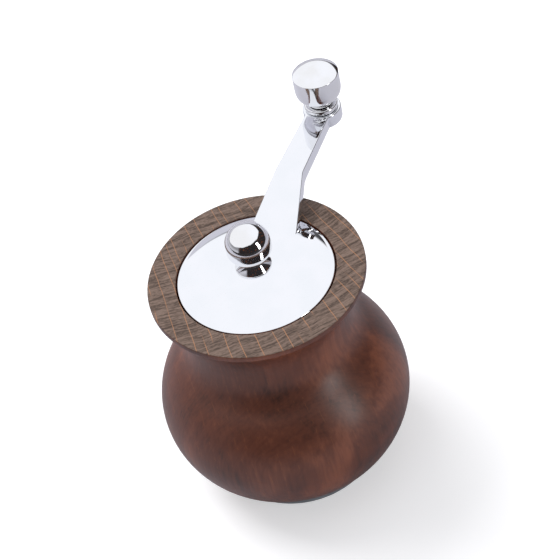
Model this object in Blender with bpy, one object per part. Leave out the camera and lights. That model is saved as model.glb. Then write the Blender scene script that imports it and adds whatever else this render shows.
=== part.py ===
"""Hand cranked salt mill: turned wooden body, chromed crank, ceramic burrs.

Every length is in metres, +Z is up and the mill stands on the plane z = 0.
The pieces are modelled round the mill's own axis, with the crank along +X.
An empty then carries them all, so that the origin lies under the middle of
the space that the mill and its crank take up.
"""
from math import asin, atan2, cos, degrees, dist, pi, radians, sin, sqrt, tan

import bmesh
import bpy

# Clearance between neighbouring pieces, a looser one round the dome and the foot carrier,
# and the overrun of a cut past a face
CLEARANCE = 0.0003
LOOSE_CLEARANCE = 0.0004
OVERRUN = 0.001

# Wooden body, turned outside and bored inside
BODY_HEIGHT = 0.0831
COLLAR_RADIUS = 0.0340
COLLAR_EDGE = 0.0013
COLLAR_CHAMFER = 0.0004
FLARE_INSET = 0.0005
NECK_RADIUS = 0.0261
NECK_DROP = 0.0185
BELLY_RADIUS = 0.0408
BELLY_HALF_HEIGHT = 0.0336
BELLY_LEVEL = 0.0292
RESERVOIR_RADIUS = 0.0175
MOUTH_DEPTH = 0.0061
FLARE_PULL_SHARE = 0.55
NECK_PULL_SHARE = 0.50
SHOULDER_SHARE = 0.625

# Foot carrier, which the mill stands on and which holds the burrs
FOOT_RADIUS = 0.0274
FOOT_THICKNESS = 0.0031
FOOT_CHAMFER = 0.0006
OUTLET_RADIUS = 0.0144
STATOR_SEAT = 0.0040
CARRIER_WALL = 0.0024
CARRIER_TOP = 0.0200

# Wood screws of the foot and of the bridge
SCREW_COUNT = 3
FOOT_SCREW_CIRCLE = 0.0232
FOOT_SCREW_HEAD = 0.0026
FOOT_SCREW_HEAD_DEPTH = 0.0017
FOOT_SCREW_SINK = 0.0004
FOOT_SCREW_THREAD = 0.0013
FOOT_SCREW_LENGTH = 0.0115
BRIDGE_SCREW_HEAD = 0.0022
BRIDGE_SCREW_HEAD_HEIGHT = 0.0013
BRIDGE_SCREW_THREAD = 0.0012
BRIDGE_SCREW_LENGTH = 0.0080

# Ceramic burrs: a toothed ring and a toothed cone inside it
STATOR_RADIUS = 0.0163
STATOR_HEIGHT = 0.0100
STATOR_MOUTH = 0.0146
STATOR_THROAT = 0.0116
STATOR_OUTLET = 0.0126
STATOR_TEETH = 32
STATOR_TOOTH_DEPTH = 0.0011
ROTOR_HEIGHT = 0.0082
ROTOR_TOP_RADIUS = 0.0074
ROTOR_RUNNING_GAP = 0.0010
ROTOR_SINK = 0.0011
ROTOR_FLUTES = 8
ROTOR_FLUTE_DEPTH = 0.0022
ROTOR_TOOTH_DEPTH = 0.0009
FINE_TEETH_SHARE = 0.42
THROAT_SHARE = 0.52
FLUTE_TWIST_SHARE = 0.85
TOOTH_PITCH_SHARE = 0.22

# Guide spider over the burrs and bridge plate in the neck
SPOKE_COUNT = 3
SPIDER_RIM_HEIGHT = 0.0024
SPIDER_RIM_WALL = 0.0017
SPIDER_SPOKE_WIDTH = 0.0030
SPIDER_SPOKE_HEIGHT = 0.0024
SPIDER_HUB_WALL = 0.0021
SPIDER_HUB_DROP = 0.0006
SPIDER_HUB_HEIGHT = 0.0036
BRIDGE_THICKNESS = 0.0020
BRIDGE_LAND = 0.0049
BRIDGE_SPOKE_WIDTH = 0.0052
BRIDGE_HUB_RADIUS = 0.0066
BRIDGE_HUB_RISE = 0.0007
BRIDGE_HUB_DROP = 0.0037

# Drive: a square shaft with threaded ends, its bush, hub, clips and nut
SHAFT_SIDE = 0.0040
STUD_RADIUS = 0.0015
STUD_LENGTH = 0.0117
SHAFT_RISE = 0.0013
SHAFT_THREAD = 0.0019
SHAFT_THREAD_LENGTH = 0.0043
BUSH_WALL = 0.0011
BUSH_FLANGE_RADIUS = 0.0070
BUSH_FLANGE_THICKNESS = 0.0012
HUB_RADIUS = 0.0050
HUB_HEIGHT = 0.0045
CLIP_RADIUS = 0.0046
CLIP_THICKNESS = 0.0010
NUT_WIDTH = 0.0070
NUT_HEIGHT = 0.0024
NUT_WASHER_RADIUS = 0.0050
NUT_WASHER_THICKNESS = 0.0006

# Spring between the bridge and the thrust washer
SPRING_RADIUS = 0.0056
SPRING_WIRE = 0.0004
SPRING_HEIGHT = 0.0140
SPRING_CURLS = 6
SPRING_CURL_POINTS = 10
THRUST_RADIUS = 0.0069
THRUST_THICKNESS = 0.0012

# Dome of the crank, which closes the mouth
DOME_RADIUS = 0.0246
DOME_CROWN = 0.0026
DOME_EDGE_RISE = 0.0017
DOME_ROLL = 0.0010
DOME_THICKNESS = 0.0016
DOME_SKIRT = 0.0022
DOME_SKIRT_WALL = 0.0014
DOME_BORE = 0.0032
DOME_BOSS_WALL = 0.0023

# Arm of the crank, from the dome up and out to the boss of its knob
ARM_ROOT_REACH = 0.0186
ARM_ROOT_RISE = 0.0029
ARM_SINK = 0.0024
ARM_ROOT_WIDTH = 0.0146
ARM_KINK_REACH = 0.0347
ARM_KINK_WIDTH = 0.0091
ARM_TIP_WIDTH = 0.0078
ARM_RISE = 0.0104
ARM_THICKNESS = 0.0044
ARM_UNDERSIDE = 0.0009
ARM_EDGE = 0.0003
CRANK_REACH = 0.0652
BOSS_RADIUS = 0.0063

# Knob on the crank, with its pin and washer
KNOB_RADIUS = 0.0075
KNOB_SIDE = 0.0064
KNOB_TOP_EDGE = 0.0004
KNOB_ROUNDING = 0.0042
KNOB_NECK_RADIUS = 0.0042
KNOB_NECK_HEIGHT = 0.0017
WASHER_RADIUS = 0.0055
WASHER_THICKNESS = 0.0018
PIN_RADIUS = 0.0020
PIN_HEAD_RADIUS = 0.0036
PIN_HEAD_HEIGHT = 0.0013
PIN_TIP_ROOM = 0.0022
SNAP_RING_RADIUS = 0.0032
SNAP_RING_THICKNESS = 0.0010
SNAP_RING_LEVEL_SHARE = 0.62

# Adjusting knob: a ball on a flared foot, with a threaded insert
BALL_RADIUS = 0.0070
BALL_LEVEL = 0.0133
BALL_FOOT_RADIUS = 0.0055
BALL_FOOT_EDGE = 0.0009
BALL_NECK_RADIUS = 0.0036
INSERT_WALL = 0.0007
INSERT_SETBACK = 0.0002
INSERT_HEIGHT = 0.0116
BORE_END_ROOM = 0.0006

# Points round a turned piece, by its size
LARGE_SIDES = 56
FOOT_SIDES = 48
MEDIUM_SIDES = 28
SMALL_SIDES = 24
TINY_SIDES = 12

# Levels above the table that several pieces share
WOOD_BASE = FOOT_THICKNESS + CLEARANCE
CARRIER_BORE = STATOR_RADIUS + CLEARANCE
CARRIER_RADIUS = CARRIER_BORE + CARRIER_WALL
GRINDER_BORE = CARRIER_RADIUS + LOOSE_CLEARANCE
GRINDER_BORE_TOP = CARRIER_TOP + CLEARANCE
MOUTH_RADIUS = DOME_RADIUS + LOOSE_CLEARANCE
MOUTH_FLOOR = BODY_HEIGHT - MOUTH_DEPTH
BRIDGE_TOP = MOUTH_FLOOR - CLEARANCE
BRIDGE_BASE = BRIDGE_TOP - BRIDGE_THICKNESS
BRIDGE_SEAT = BRIDGE_BASE - CLEARANCE
BRIDGE_RADIUS = RESERVOIR_RADIUS + BRIDGE_LAND - CLEARANCE
BRIDGE_SCREW_CIRCLE = RESERVOIR_RADIUS + BRIDGE_LAND / 2
SQUARE_HOLE = SHAFT_SIDE + 2 * CLEARANCE
SHAFT_BORE = SQUARE_HOLE / sqrt(2) + CLEARANCE / 2
BUSH_RADIUS = SQUARE_HOLE / sqrt(2) + BUSH_WALL
BUSH_FLANGE_BASE = BRIDGE_TOP + BRIDGE_HUB_RISE + CLEARANCE
HUB_BASE = BUSH_FLANGE_BASE + BUSH_FLANGE_THICKNESS + CLEARANCE
HUB_TOP = HUB_BASE + HUB_HEIGHT
STATOR_BASE = STATOR_SEAT + CLEARANCE
STATOR_TOP = STATOR_BASE + STATOR_HEIGHT
ROTOR_BASE = STATOR_BASE + ROTOR_SINK
ROTOR_TOP = ROTOR_BASE + ROTOR_HEIGHT
SPRING_TOP = BRIDGE_BASE - BRIDGE_HUB_DROP - CLEARANCE
SPRING_BASE = SPRING_TOP - SPRING_HEIGHT
THRUST_TOP = SPRING_BASE - CLEARANCE
THRUST_BASE = THRUST_TOP - THRUST_THICKNESS
ARM_TOP = BODY_HEIGHT + ARM_RISE
WASHER_BASE = ARM_TOP + CLEARANCE
KNOB_BASE = WASHER_BASE + WASHER_THICKNESS + CLEARANCE
KNOB_HEIGHT = KNOB_NECK_HEIGHT + KNOB_ROUNDING + KNOB_SIDE
PIN_BORE = PIN_RADIUS + CLEARANCE
BALL_FOOT_BASE = BODY_HEIGHT + DOME_CROWN + CLEARANCE
INSERT_BORE = STUD_RADIUS + CLEARANCE
INSERT_RADIUS = INSERT_BORE + INSERT_WALL
BALL_BORE = INSERT_RADIUS + CLEARANCE

# Place of the mill's axis, which centres the mill and crank on the origin
AXIS_X = (BELLY_RADIUS - CRANK_REACH - KNOB_RADIUS) / 2


def clear_scene():
    """Remove every object that the file opened with."""
    for thing in list(bpy.data.objects):
        bpy.data.objects.remove(thing, do_unlink=True)


def make_material(name, colour, metallic, roughness):
    """Return a Principled material in one colour."""
    finish = bpy.data.materials.new(name)
    finish.use_nodes = True
    shader = finish.node_tree.nodes["Principled BSDF"]
    shader.inputs["Base Color"].default_value = (*colour, 1.0)
    shader.inputs["Metallic"].default_value = metallic
    shader.inputs["Roughness"].default_value = roughness
    return finish


def circle(radius, level, count, centre=(0.0, 0.0)):
    """Return a level ring of points."""
    turns = [2 * pi * step / count for step in range(count)]
    return [(centre[0] + radius * cos(turn), centre[1] + radius * sin(turn), level)
            for turn in turns]


def polygon(width, sides, level, count):
    """Return a level ring of points on a regular polygon, by its width across flats."""
    ring = []
    for step in range(count):
        turn = 2 * pi * step / count
        off_flat = (turn + pi / sides) % (2 * pi / sides) - pi / sides
        reach = width / 2 / cos(off_flat)
        ring.append((reach * cos(turn), reach * sin(turn), level))
    return ring


def toothed_ring(radius, depth, teeth, level, count, turn=0.0):
    """Return a ring of saw teeth, their tips the depth away from the radius.

    A positive depth stands the tips outside the radius, a negative one inside.
    """
    per_tooth = count // teeth
    ring = []
    for step in range(count):
        tooth, place = divmod(step, per_tooth)
        share = 0.0 if place == 0 else 1.0 - (place - 1) / (per_tooth - 1)
        phase = 0.0 if place == 0 else TOOTH_PITCH_SHARE + (
            (1.0 - TOOTH_PITCH_SHARE) * (place - 1) / (per_tooth - 1))
        angle = 2 * pi * (tooth + phase) / teeth + turn
        reach = radius + depth * share
        ring.append((reach * cos(angle), reach * sin(angle), level))
    return ring


def turned(profile, count, centre=(0.0, 0.0)):
    """Return the rings of a turned shape, from its radii and levels."""
    return [circle(radius, level, count, centre) for radius, level in profile]


def curve(start, start_pull, end_pull, end, steps):
    """Return the points of a cubic curve between two ends, both ends included."""
    points = []
    for step in range(steps + 1):
        t = step / steps
        weights = ((1 - t) ** 3, 3 * t * (1 - t) ** 2, 3 * t * t * (1 - t), t ** 3)
        corners = (start, start_pull, end_pull, end)
        points.append(tuple(sum(weight * corner[axis] for weight, corner in zip(weights, corners))
                            for axis in range(2)))
    return points


def arc(centre, radius, start, end, steps):
    """Return points along an arc in radius and level, between two angles in degrees."""
    angles = [radians(start + (end - start) * step / steps) for step in range(steps + 1)]
    return [(centre[0] + radius * cos(angle), centre[1] + radius * sin(angle))
            for angle in angles]


def skin(shape, rings, looped):
    """Add the faces between rings, which end in caps or meet end to end."""
    rows = [[shape.verts.new(point) for point in ring] for ring in rings]
    pairs = list(zip(rows, rows[1:]))
    if looped:
        pairs.append((rows[-1], rows[0]))
    for low, high in pairs:
        count = len(low)
        for step in range(count):
            after = (step + 1) % count
            shape.faces.new((low[step], low[after], high[after], high[step]))
    if not looped:
        shape.faces.new(rows[0][::-1])
        shape.faces.new(rows[-1])


def make_solid(name, shells, finish=None, looped=False, axis=(0.0, 0.0)):
    """Return an object with one closed body for each list of rings.

    Its origin stands on the given axis, which is the axis that it turns about.
    """
    mesh = bpy.data.meshes.new(name)
    shape = bmesh.new()
    for rings in shells:
        skin(shape, rings, looped)
    bmesh.ops.translate(shape, verts=shape.verts, vec=(-axis[0], -axis[1], 0.0))
    bmesh.ops.recalc_face_normals(shape, faces=shape.faces)
    shape.to_mesh(mesh)
    shape.free()
    mesh.shade_smooth()
    mesh.set_sharp_from_angle(angle=radians(30))
    thing = bpy.data.objects.new(name, mesh)
    thing.location = (*axis, 0.0)
    bpy.context.scene.collection.objects.link(thing)
    if finish:
        mesh.materials.append(finish)
    return thing


def combine(target, name, shells, operation, looped=False):
    """Join, cut or trim a solid by another, which is kept as a hidden guide."""
    guide = make_solid(name, shells, looped=looped)
    guide.hide_render = True
    guide.display_type = "WIRE"
    change = target.modifiers.new(name, "BOOLEAN")
    change.operation = operation
    change.solver = "EXACT"
    change.object = guide
    return guide


def ring_of_places(radius, count, first=0.0):
    """Return places spaced evenly round the axis."""
    turns = [2 * pi * step / count + radians(first) for step in range(count)]
    return [(radius * cos(turn), radius * sin(turn)) for turn in turns]


def plug(radius, low, high, count, centre=(0.0, 0.0)):
    """Return the rings of a plain cylinder."""
    return turned([(radius, low), (radius, high)], count, centre)


def belly_radius_at(level):
    """Return the belly's radius at a level above the table."""
    share = (level - BELLY_LEVEL) / BELLY_HALF_HEIGHT
    return BELLY_RADIUS * sqrt(1 - share * share)


def body_outline():
    """Return the outer profile of the wooden body, from its collar down."""
    rim_base = BODY_HEIGHT - COLLAR_CHAMFER - COLLAR_EDGE
    flare = (COLLAR_RADIUS - FLARE_INSET, rim_base - FLARE_INSET)
    neck = (NECK_RADIUS, BODY_HEIGHT - NECK_DROP)
    shoulder_level = BELLY_LEVEL + SHOULDER_SHARE * BELLY_HALF_HEIGHT
    shoulder = (belly_radius_at(shoulder_level), shoulder_level)
    flare_drop = flare[1] - neck[1]
    shoulder_drop = neck[1] - shoulder[1]
    slope = (BELLY_RADIUS / BELLY_HALF_HEIGHT) ** 2 * (shoulder_level - BELLY_LEVEL) / shoulder[0]
    rise = NECK_PULL_SHARE * shoulder_drop
    flare_curve = curve(
        flare, (flare[0] - FLARE_PULL_SHARE * (flare[0] - neck[0]), flare[1] - (flare[0] - neck[0]) / 3),
        (neck[0], neck[1] + NECK_PULL_SHARE * flare_drop), neck, 6)
    shoulder_curve = curve(
        neck, (neck[0], neck[1] - rise),
        (shoulder[0] - slope * rise / 2, shoulder[1] + rise / 2), shoulder, 5)
    top_angle = degrees(asin(SHOULDER_SHARE))
    base_angle = degrees(asin((WOOD_BASE - BELLY_LEVEL) / BELLY_HALF_HEIGHT))
    belly = arc((0.0, 0.0), 1.0, top_angle, 0.0, 5)[1:] + arc((0.0, 0.0), 1.0, 0.0, base_angle, 6)[1:]
    belly_curve = [(BELLY_RADIUS * across, BELLY_LEVEL + BELLY_HALF_HEIGHT * up)
                   for across, up in belly]
    rim = [(COLLAR_RADIUS - COLLAR_CHAMFER, BODY_HEIGHT),
           (COLLAR_RADIUS, BODY_HEIGHT - COLLAR_CHAMFER),
           (COLLAR_RADIUS, rim_base)]
    return rim + flare_curve + shoulder_curve[1:] + belly_curve


def body_bore():
    """Return the inner profile of the wooden body, from its foot up to the mouth."""
    bridge_bore = RESERVOIR_RADIUS + BRIDGE_LAND
    return [(GRINDER_BORE, WOOD_BASE), (GRINDER_BORE, GRINDER_BORE_TOP),
            (RESERVOIR_RADIUS, GRINDER_BORE_TOP), (RESERVOIR_RADIUS, BRIDGE_SEAT),
            (bridge_bore, BRIDGE_SEAT), (bridge_bore, MOUTH_FLOOR),
            (MOUTH_RADIUS, MOUTH_FLOOR), (MOUTH_RADIUS, BODY_HEIGHT - COLLAR_CHAMFER),
            (MOUTH_RADIUS + COLLAR_CHAMFER, BODY_HEIGHT)]


def make_body(finish):
    """Build the wooden body with the pilot holes of its screws."""
    body = make_solid("wooden_body", [turned(body_outline() + body_bore(), LARGE_SIDES)],
                      finish, looped=True)
    bridge_pilot = BRIDGE_SCREW_THREAD + CLEARANCE
    foot_pilot = FOOT_SCREW_THREAD + CLEARANCE
    pilots = [plug(bridge_pilot, BRIDGE_TOP - BRIDGE_SCREW_LENGTH - CLEARANCE, BRIDGE_SEAT + OVERRUN,
                   TINY_SIDES, place) for place in bridge_screw_places()]
    pilots += [plug(foot_pilot, WOOD_BASE - OVERRUN, FOOT_SCREW_LENGTH + 2 * CLEARANCE,
                    TINY_SIDES, place) for place in foot_screw_places()]
    combine(body, "pilot_holes", pilots, "DIFFERENCE")
    return body


def foot_screw_places():
    """Return the places of the foot's screws."""
    return ring_of_places(FOOT_SCREW_CIRCLE, SCREW_COUNT, first=90)


def bridge_screw_places():
    """Return the places of the bridge's screws, in line with its spokes."""
    return ring_of_places(BRIDGE_SCREW_CIRCLE, SCREW_COUNT, first=60)


def make_foot(finish):
    """Build the foot carrier: a foot ring with a tube that holds the burrs."""
    profile = [(OUTLET_RADIUS, 0.0), (FOOT_RADIUS - FOOT_CHAMFER, 0.0), (FOOT_RADIUS, FOOT_CHAMFER),
               (FOOT_RADIUS, FOOT_THICKNESS), (CARRIER_RADIUS, FOOT_THICKNESS),
               (CARRIER_RADIUS, CARRIER_TOP), (CARRIER_BORE, CARRIER_TOP),
               (CARRIER_BORE, STATOR_SEAT), (OUTLET_RADIUS, STATOR_SEAT)]
    foot = make_solid("foot_carrier", [turned(profile, FOOT_SIDES)], finish, looped=True)
    head = FOOT_SCREW_HEAD + CLEARANCE
    shank = FOOT_SCREW_THREAD + CLEARANCE
    taper_base = FOOT_SCREW_SINK + FOOT_SCREW_HEAD_DEPTH
    countersink = [(head, -OVERRUN), (head, FOOT_SCREW_SINK), (shank, taper_base + CLEARANCE),
                   (shank, FOOT_THICKNESS + OVERRUN)]
    holes = [turned(countersink, TINY_SIDES, place) for place in foot_screw_places()]
    combine(foot, "countersunk_holes", holes, "DIFFERENCE")
    return foot


def make_screws(name, profile, places, finish):
    """Build one screw at each place, from one profile."""
    return [make_solid(f"{name}_{number}", [turned(profile, TINY_SIDES, place)], finish, axis=place)
            for number, place in enumerate(places, start=1)]


def make_foot_screws(finish):
    """Build the countersunk screws that hold the foot carrier to the wood."""
    neck = FOOT_SCREW_SINK + FOOT_SCREW_HEAD_DEPTH
    profile = [(FOOT_SCREW_HEAD, FOOT_SCREW_SINK + CLEARANCE / 3), (FOOT_SCREW_THREAD, neck),
               (FOOT_SCREW_THREAD, FOOT_SCREW_LENGTH - FOOT_SCREW_THREAD),
               (FOOT_SCREW_THREAD / 3, FOOT_SCREW_LENGTH)]
    return make_screws("foot_screw", profile, foot_screw_places(), finish)


def make_bridge_screws(finish):
    """Build the pan head screws that hold the bridge in the neck."""
    head_base = BRIDGE_TOP + CLEARANCE
    head_top = head_base + BRIDGE_SCREW_HEAD_HEIGHT
    tip = BRIDGE_TOP - BRIDGE_SCREW_LENGTH
    profile = [(BRIDGE_SCREW_THREAD / 3, tip), (BRIDGE_SCREW_THREAD, tip + BRIDGE_SCREW_THREAD),
               (BRIDGE_SCREW_THREAD, head_base), (BRIDGE_SCREW_HEAD, head_base),
               (BRIDGE_SCREW_HEAD, head_top - BRIDGE_SCREW_HEAD / 4),
               (BRIDGE_SCREW_HEAD * 3 / 4, head_top)]
    return make_screws("bridge_screw", profile, bridge_screw_places(), finish)


def spoke_rings(turn, width, near, far, low, high):
    """Return the rings of one straight spoke that runs out from the axis."""
    rings = []
    for level in (low, high):
        corners = ((near, -width / 2), (far, -width / 2), (far, width / 2), (near, width / 2))
        rings.append([(along * cos(turn) - side * sin(turn), along * sin(turn) + side * cos(turn), level)
                      for along, side in corners])
    return rings


def spokes(first, width, near, far, low, high):
    """Return the spokes of a plate, evenly spaced from a first angle in degrees."""
    turns = [radians(first) + 2 * pi * step / SPOKE_COUNT for step in range(SPOKE_COUNT)]
    return [spoke_rings(turn, width, near, far, low, high) for turn in turns]


def make_bridge(finish):
    """Build the bridge plate: a rim, three spokes and a bearing hub, open for filling."""
    window = RESERVOIR_RADIUS - CLEARANCE
    rim = [(window, BRIDGE_BASE), (BRIDGE_RADIUS, BRIDGE_BASE),
           (BRIDGE_RADIUS, BRIDGE_TOP), (window, BRIDGE_TOP)]
    bridge = make_solid("bridge_plate", [turned(rim, MEDIUM_SIDES)], finish, looped=True)
    bore = BUSH_RADIUS + CLEARANCE
    hub_low = BRIDGE_BASE - BRIDGE_HUB_DROP
    hub_high = BRIDGE_TOP + BRIDGE_HUB_RISE
    hub_middle = (bore + BRIDGE_HUB_RADIUS) / 2
    rim_middle = (window + BRIDGE_RADIUS) / 2
    inset = BRIDGE_THICKNESS / 8
    combine(bridge, "bridge_spokes",
            spokes(60, BRIDGE_SPOKE_WIDTH, hub_middle, rim_middle, BRIDGE_BASE + inset, BRIDGE_TOP - inset),
            "UNION")
    hub = [(bore, hub_low), (BRIDGE_HUB_RADIUS, hub_low), (BRIDGE_HUB_RADIUS, hub_high), (bore, hub_high)]
    combine(bridge, "bridge_hub", [turned(hub, MEDIUM_SIDES)], "UNION", looped=True)
    hole = BRIDGE_SCREW_THREAD + CLEARANCE
    holes = [plug(hole, BRIDGE_BASE - OVERRUN, BRIDGE_TOP + OVERRUN, TINY_SIDES, place)
             for place in bridge_screw_places()]
    combine(bridge, "bridge_screw_holes", holes, "DIFFERENCE")
    return bridge


def make_spider(finish):
    """Build the guide spider, which holds the stator down and centres the shaft."""
    low = STATOR_TOP + CLEARANCE
    high = low + SPIDER_RIM_HEIGHT
    window = STATOR_RADIUS - SPIDER_RIM_WALL
    rim = [(window, low), (STATOR_RADIUS, low), (STATOR_RADIUS, high), (window, high)]
    spider = make_solid("guide_spider", [turned(rim, MEDIUM_SIDES)], finish, looped=True)
    hub_low = high - SPIDER_HUB_DROP
    hub_high = hub_low + SPIDER_HUB_HEIGHT
    hub_radius = SHAFT_BORE + SPIDER_HUB_WALL
    spoke_low = high - SPIDER_SPOKE_HEIGHT / 5
    combine(spider, "spider_spokes",
            spokes(60, SPIDER_SPOKE_WIDTH, SHAFT_BORE + SPIDER_HUB_WALL / 2, window + SPIDER_RIM_WALL / 2,
                   spoke_low, spoke_low + SPIDER_SPOKE_HEIGHT), "UNION")
    hub = [(SHAFT_BORE, hub_low), (hub_radius, hub_low), (hub_radius, hub_high), (SHAFT_BORE, hub_high)]
    combine(spider, "spider_hub", [turned(hub, SMALL_SIDES)], "UNION", looped=True)
    return spider


def make_stator(finish):
    """Build the outer burr: a ring whose inner cone carries saw teeth."""
    count = 2 * STATOR_TEETH
    throat_level = STATOR_BASE + THROAT_SHARE * STATOR_HEIGHT
    depth = STATOR_TOOTH_DEPTH
    rings = [circle(STATOR_RADIUS, STATOR_BASE, count), circle(STATOR_RADIUS, STATOR_TOP, count),
             circle(STATOR_MOUTH, STATOR_TOP, count)]
    cuts = [(STATOR_MOUTH - depth, depth / 4, STATOR_TOP - depth), (STATOR_THROAT, depth, throat_level),
            (STATOR_OUTLET, depth / 2, STATOR_BASE)]
    for step, (tip, tooth, level) in enumerate(cuts):
        lead = pi / STATOR_TEETH * step
        rings.append(toothed_ring(tip + tooth, -tooth, STATOR_TEETH, level, count, lead))
    return make_solid("stator_burr", [rings], finish, looped=True)


def rotor_tip(level):
    """Return the radius of the rotor's tips, a running gap inside the stator's."""
    throat_level = STATOR_BASE + THROAT_SHARE * STATOR_HEIGHT
    share = (throat_level - level) / (throat_level - STATOR_BASE)
    return STATOR_THROAT + share * (STATOR_OUTLET - STATOR_THROAT) - ROTOR_RUNNING_GAP


def make_rotor(finish):
    """Build the inner burr: feeding flutes above, fine saw teeth below, a square bore."""
    count = 2 * STATOR_TEETH
    fine_top = ROTOR_BASE + FINE_TEETH_SHARE * ROTOR_HEIGHT
    tooth = ROTOR_TOOTH_DEPTH
    rings = [toothed_ring(rotor_tip(level) - tooth, tooth, STATOR_TEETH, level, count, turn)
             for level, turn in ((ROTOR_BASE, 0.0), (fine_top, -2 * pi / STATOR_TEETH))]
    flute_levels = 4
    for step in range(1, flute_levels + 1):
        share = step / flute_levels
        level = fine_top + share * (ROTOR_TOP - fine_top)
        tip = rotor_tip(fine_top) + share * share * (ROTOR_TOP_RADIUS - rotor_tip(fine_top))
        turn = -2 * pi / ROTOR_FLUTES * FLUTE_TWIST_SHARE * share
        rings.append(toothed_ring(tip - ROTOR_FLUTE_DEPTH, ROTOR_FLUTE_DEPTH, ROTOR_FLUTES, level,
                                  count, turn))
    rings += [polygon(SQUARE_HOLE, 4, ROTOR_TOP, count), polygon(SQUARE_HOLE, 4, ROTOR_BASE, count)]
    return make_solid("rotor_burr", [rings], finish, looped=True)


def square_bored(name, steps, count, finish):
    """Build a turned piece with a square hole for the shaft, from radii and levels."""
    rings = [circle(radius, level, count) for radius, level in steps]
    rings += [polygon(SQUARE_HOLE, 4, steps[-1][1], count), polygon(SQUARE_HOLE, 4, steps[0][1], count)]
    return make_solid(name, [rings], finish, looped=True)


def make_bush(finish):
    """Build the flanged bush that turns in the bridge and carries the crank."""
    low = BRIDGE_BASE - BRIDGE_HUB_DROP
    high = BUSH_FLANGE_BASE + BUSH_FLANGE_THICKNESS
    steps = [(BUSH_RADIUS, low), (BUSH_RADIUS, BUSH_FLANGE_BASE),
             (BUSH_FLANGE_RADIUS, BUSH_FLANGE_BASE), (BUSH_FLANGE_RADIUS, high)]
    return square_bored("drive_bush", steps, SMALL_SIDES, finish)


def make_hub(finish):
    """Build the square holed insert under the dome."""
    steps = [(HUB_RADIUS, HUB_BASE), (HUB_RADIUS, HUB_TOP)]
    return square_bored("drive_hub", steps, SMALL_SIDES, finish)


def make_clip(name, top, finish):
    """Build a retaining clip on the shaft."""
    steps = [(CLIP_RADIUS, top - CLIP_THICKNESS), (CLIP_RADIUS, top)]
    return square_bored(name, steps, SMALL_SIDES, finish)


def make_washer(name, radius, bore, low, thickness, finish, axis=(0.0, 0.0)):
    """Build a plain washer."""
    high = low + thickness
    profile = [(bore, low), (radius, low), (radius, high), (bore, high)]
    return make_solid(name, [turned(profile, SMALL_SIDES, axis)], finish, looped=True, axis=axis)


def make_shaft(finish):
    """Build the square shaft with its upper stud and its lower thread."""
    square_base = ROTOR_BASE + CLEARANCE
    square_top = BODY_HEIGHT + SHAFT_RISE
    count = SMALL_SIDES
    tip_chamfer = STUD_RADIUS / 4
    rings = [circle(SHAFT_THREAD, square_base - SHAFT_THREAD_LENGTH, count),
             circle(SHAFT_THREAD, square_base, count),
             polygon(SHAFT_SIDE, 4, square_base, count),
             polygon(SHAFT_SIDE, 4, square_top, count),
             circle(STUD_RADIUS, square_top, count),
             circle(STUD_RADIUS, square_top + STUD_LENGTH - tip_chamfer, count),
             circle(STUD_RADIUS - tip_chamfer, square_top + STUD_LENGTH, count)]
    return make_solid("drive_shaft", [rings], finish)


def make_nut(finish):
    """Build the hexagon nut under the rotor."""
    high = ROTOR_BASE - 2 * CLEARANCE - NUT_WASHER_THICKNESS
    low = high - NUT_HEIGHT
    bore = SHAFT_THREAD + CLEARANCE
    count = SMALL_SIDES
    rings = [circle(bore, low, count), polygon(NUT_WIDTH, 6, low, count),
             polygon(NUT_WIDTH, 6, high, count), circle(bore, high, count)]
    return make_solid("rotor_nut", [rings], finish, looped=True)


def spring_points():
    """Return the points along the spring's wire."""
    climb = SPRING_HEIGHT - 2 * SPRING_WIRE
    steps = SPRING_CURLS * SPRING_CURL_POINTS
    points = []
    for step in range(steps + 1):
        turn = 2 * pi * step / SPRING_CURL_POINTS
        level = SPRING_BASE + SPRING_WIRE + climb * step / steps
        points.append((SPRING_RADIUS * cos(turn), SPRING_RADIUS * sin(turn), level))
    return points


def least_spring_gap(points):
    """Return the least gap between two curls of the spring's wire."""
    apart = SPRING_CURL_POINTS // 2
    nearest = min(dist(first, second) for index, first in enumerate(points)
                  for second in points[index + apart:])
    return nearest - 2 * SPRING_WIRE


def make_spring(finish):
    """Build the spring as one unbroken tube along its helix."""
    wire = bpy.data.curves.new("spring", "CURVE")
    wire.dimensions = "3D"
    wire.bevel_depth = SPRING_WIRE
    wire.bevel_resolution = 1
    wire.use_fill_caps = True
    points = spring_points()
    strand = wire.splines.new("POLY")
    strand.points.add(len(points) - 1)
    for knot, point in zip(strand.points, points):
        knot.co = (*point, 1.0)
    wire.materials.append(finish)
    spring = bpy.data.objects.new("spring", wire)
    bpy.context.scene.collection.objects.link(spring)
    print("least gap between the spring's curls in mm:", round(least_spring_gap(points) * 1000, 2))
    return spring


def dome_height(radius):
    """Return the height of the dome's face above the collar, at a radius."""
    return DOME_CROWN - (DOME_CROWN - DOME_EDGE_RISE) * (radius / DOME_RADIUS) ** 2


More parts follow.
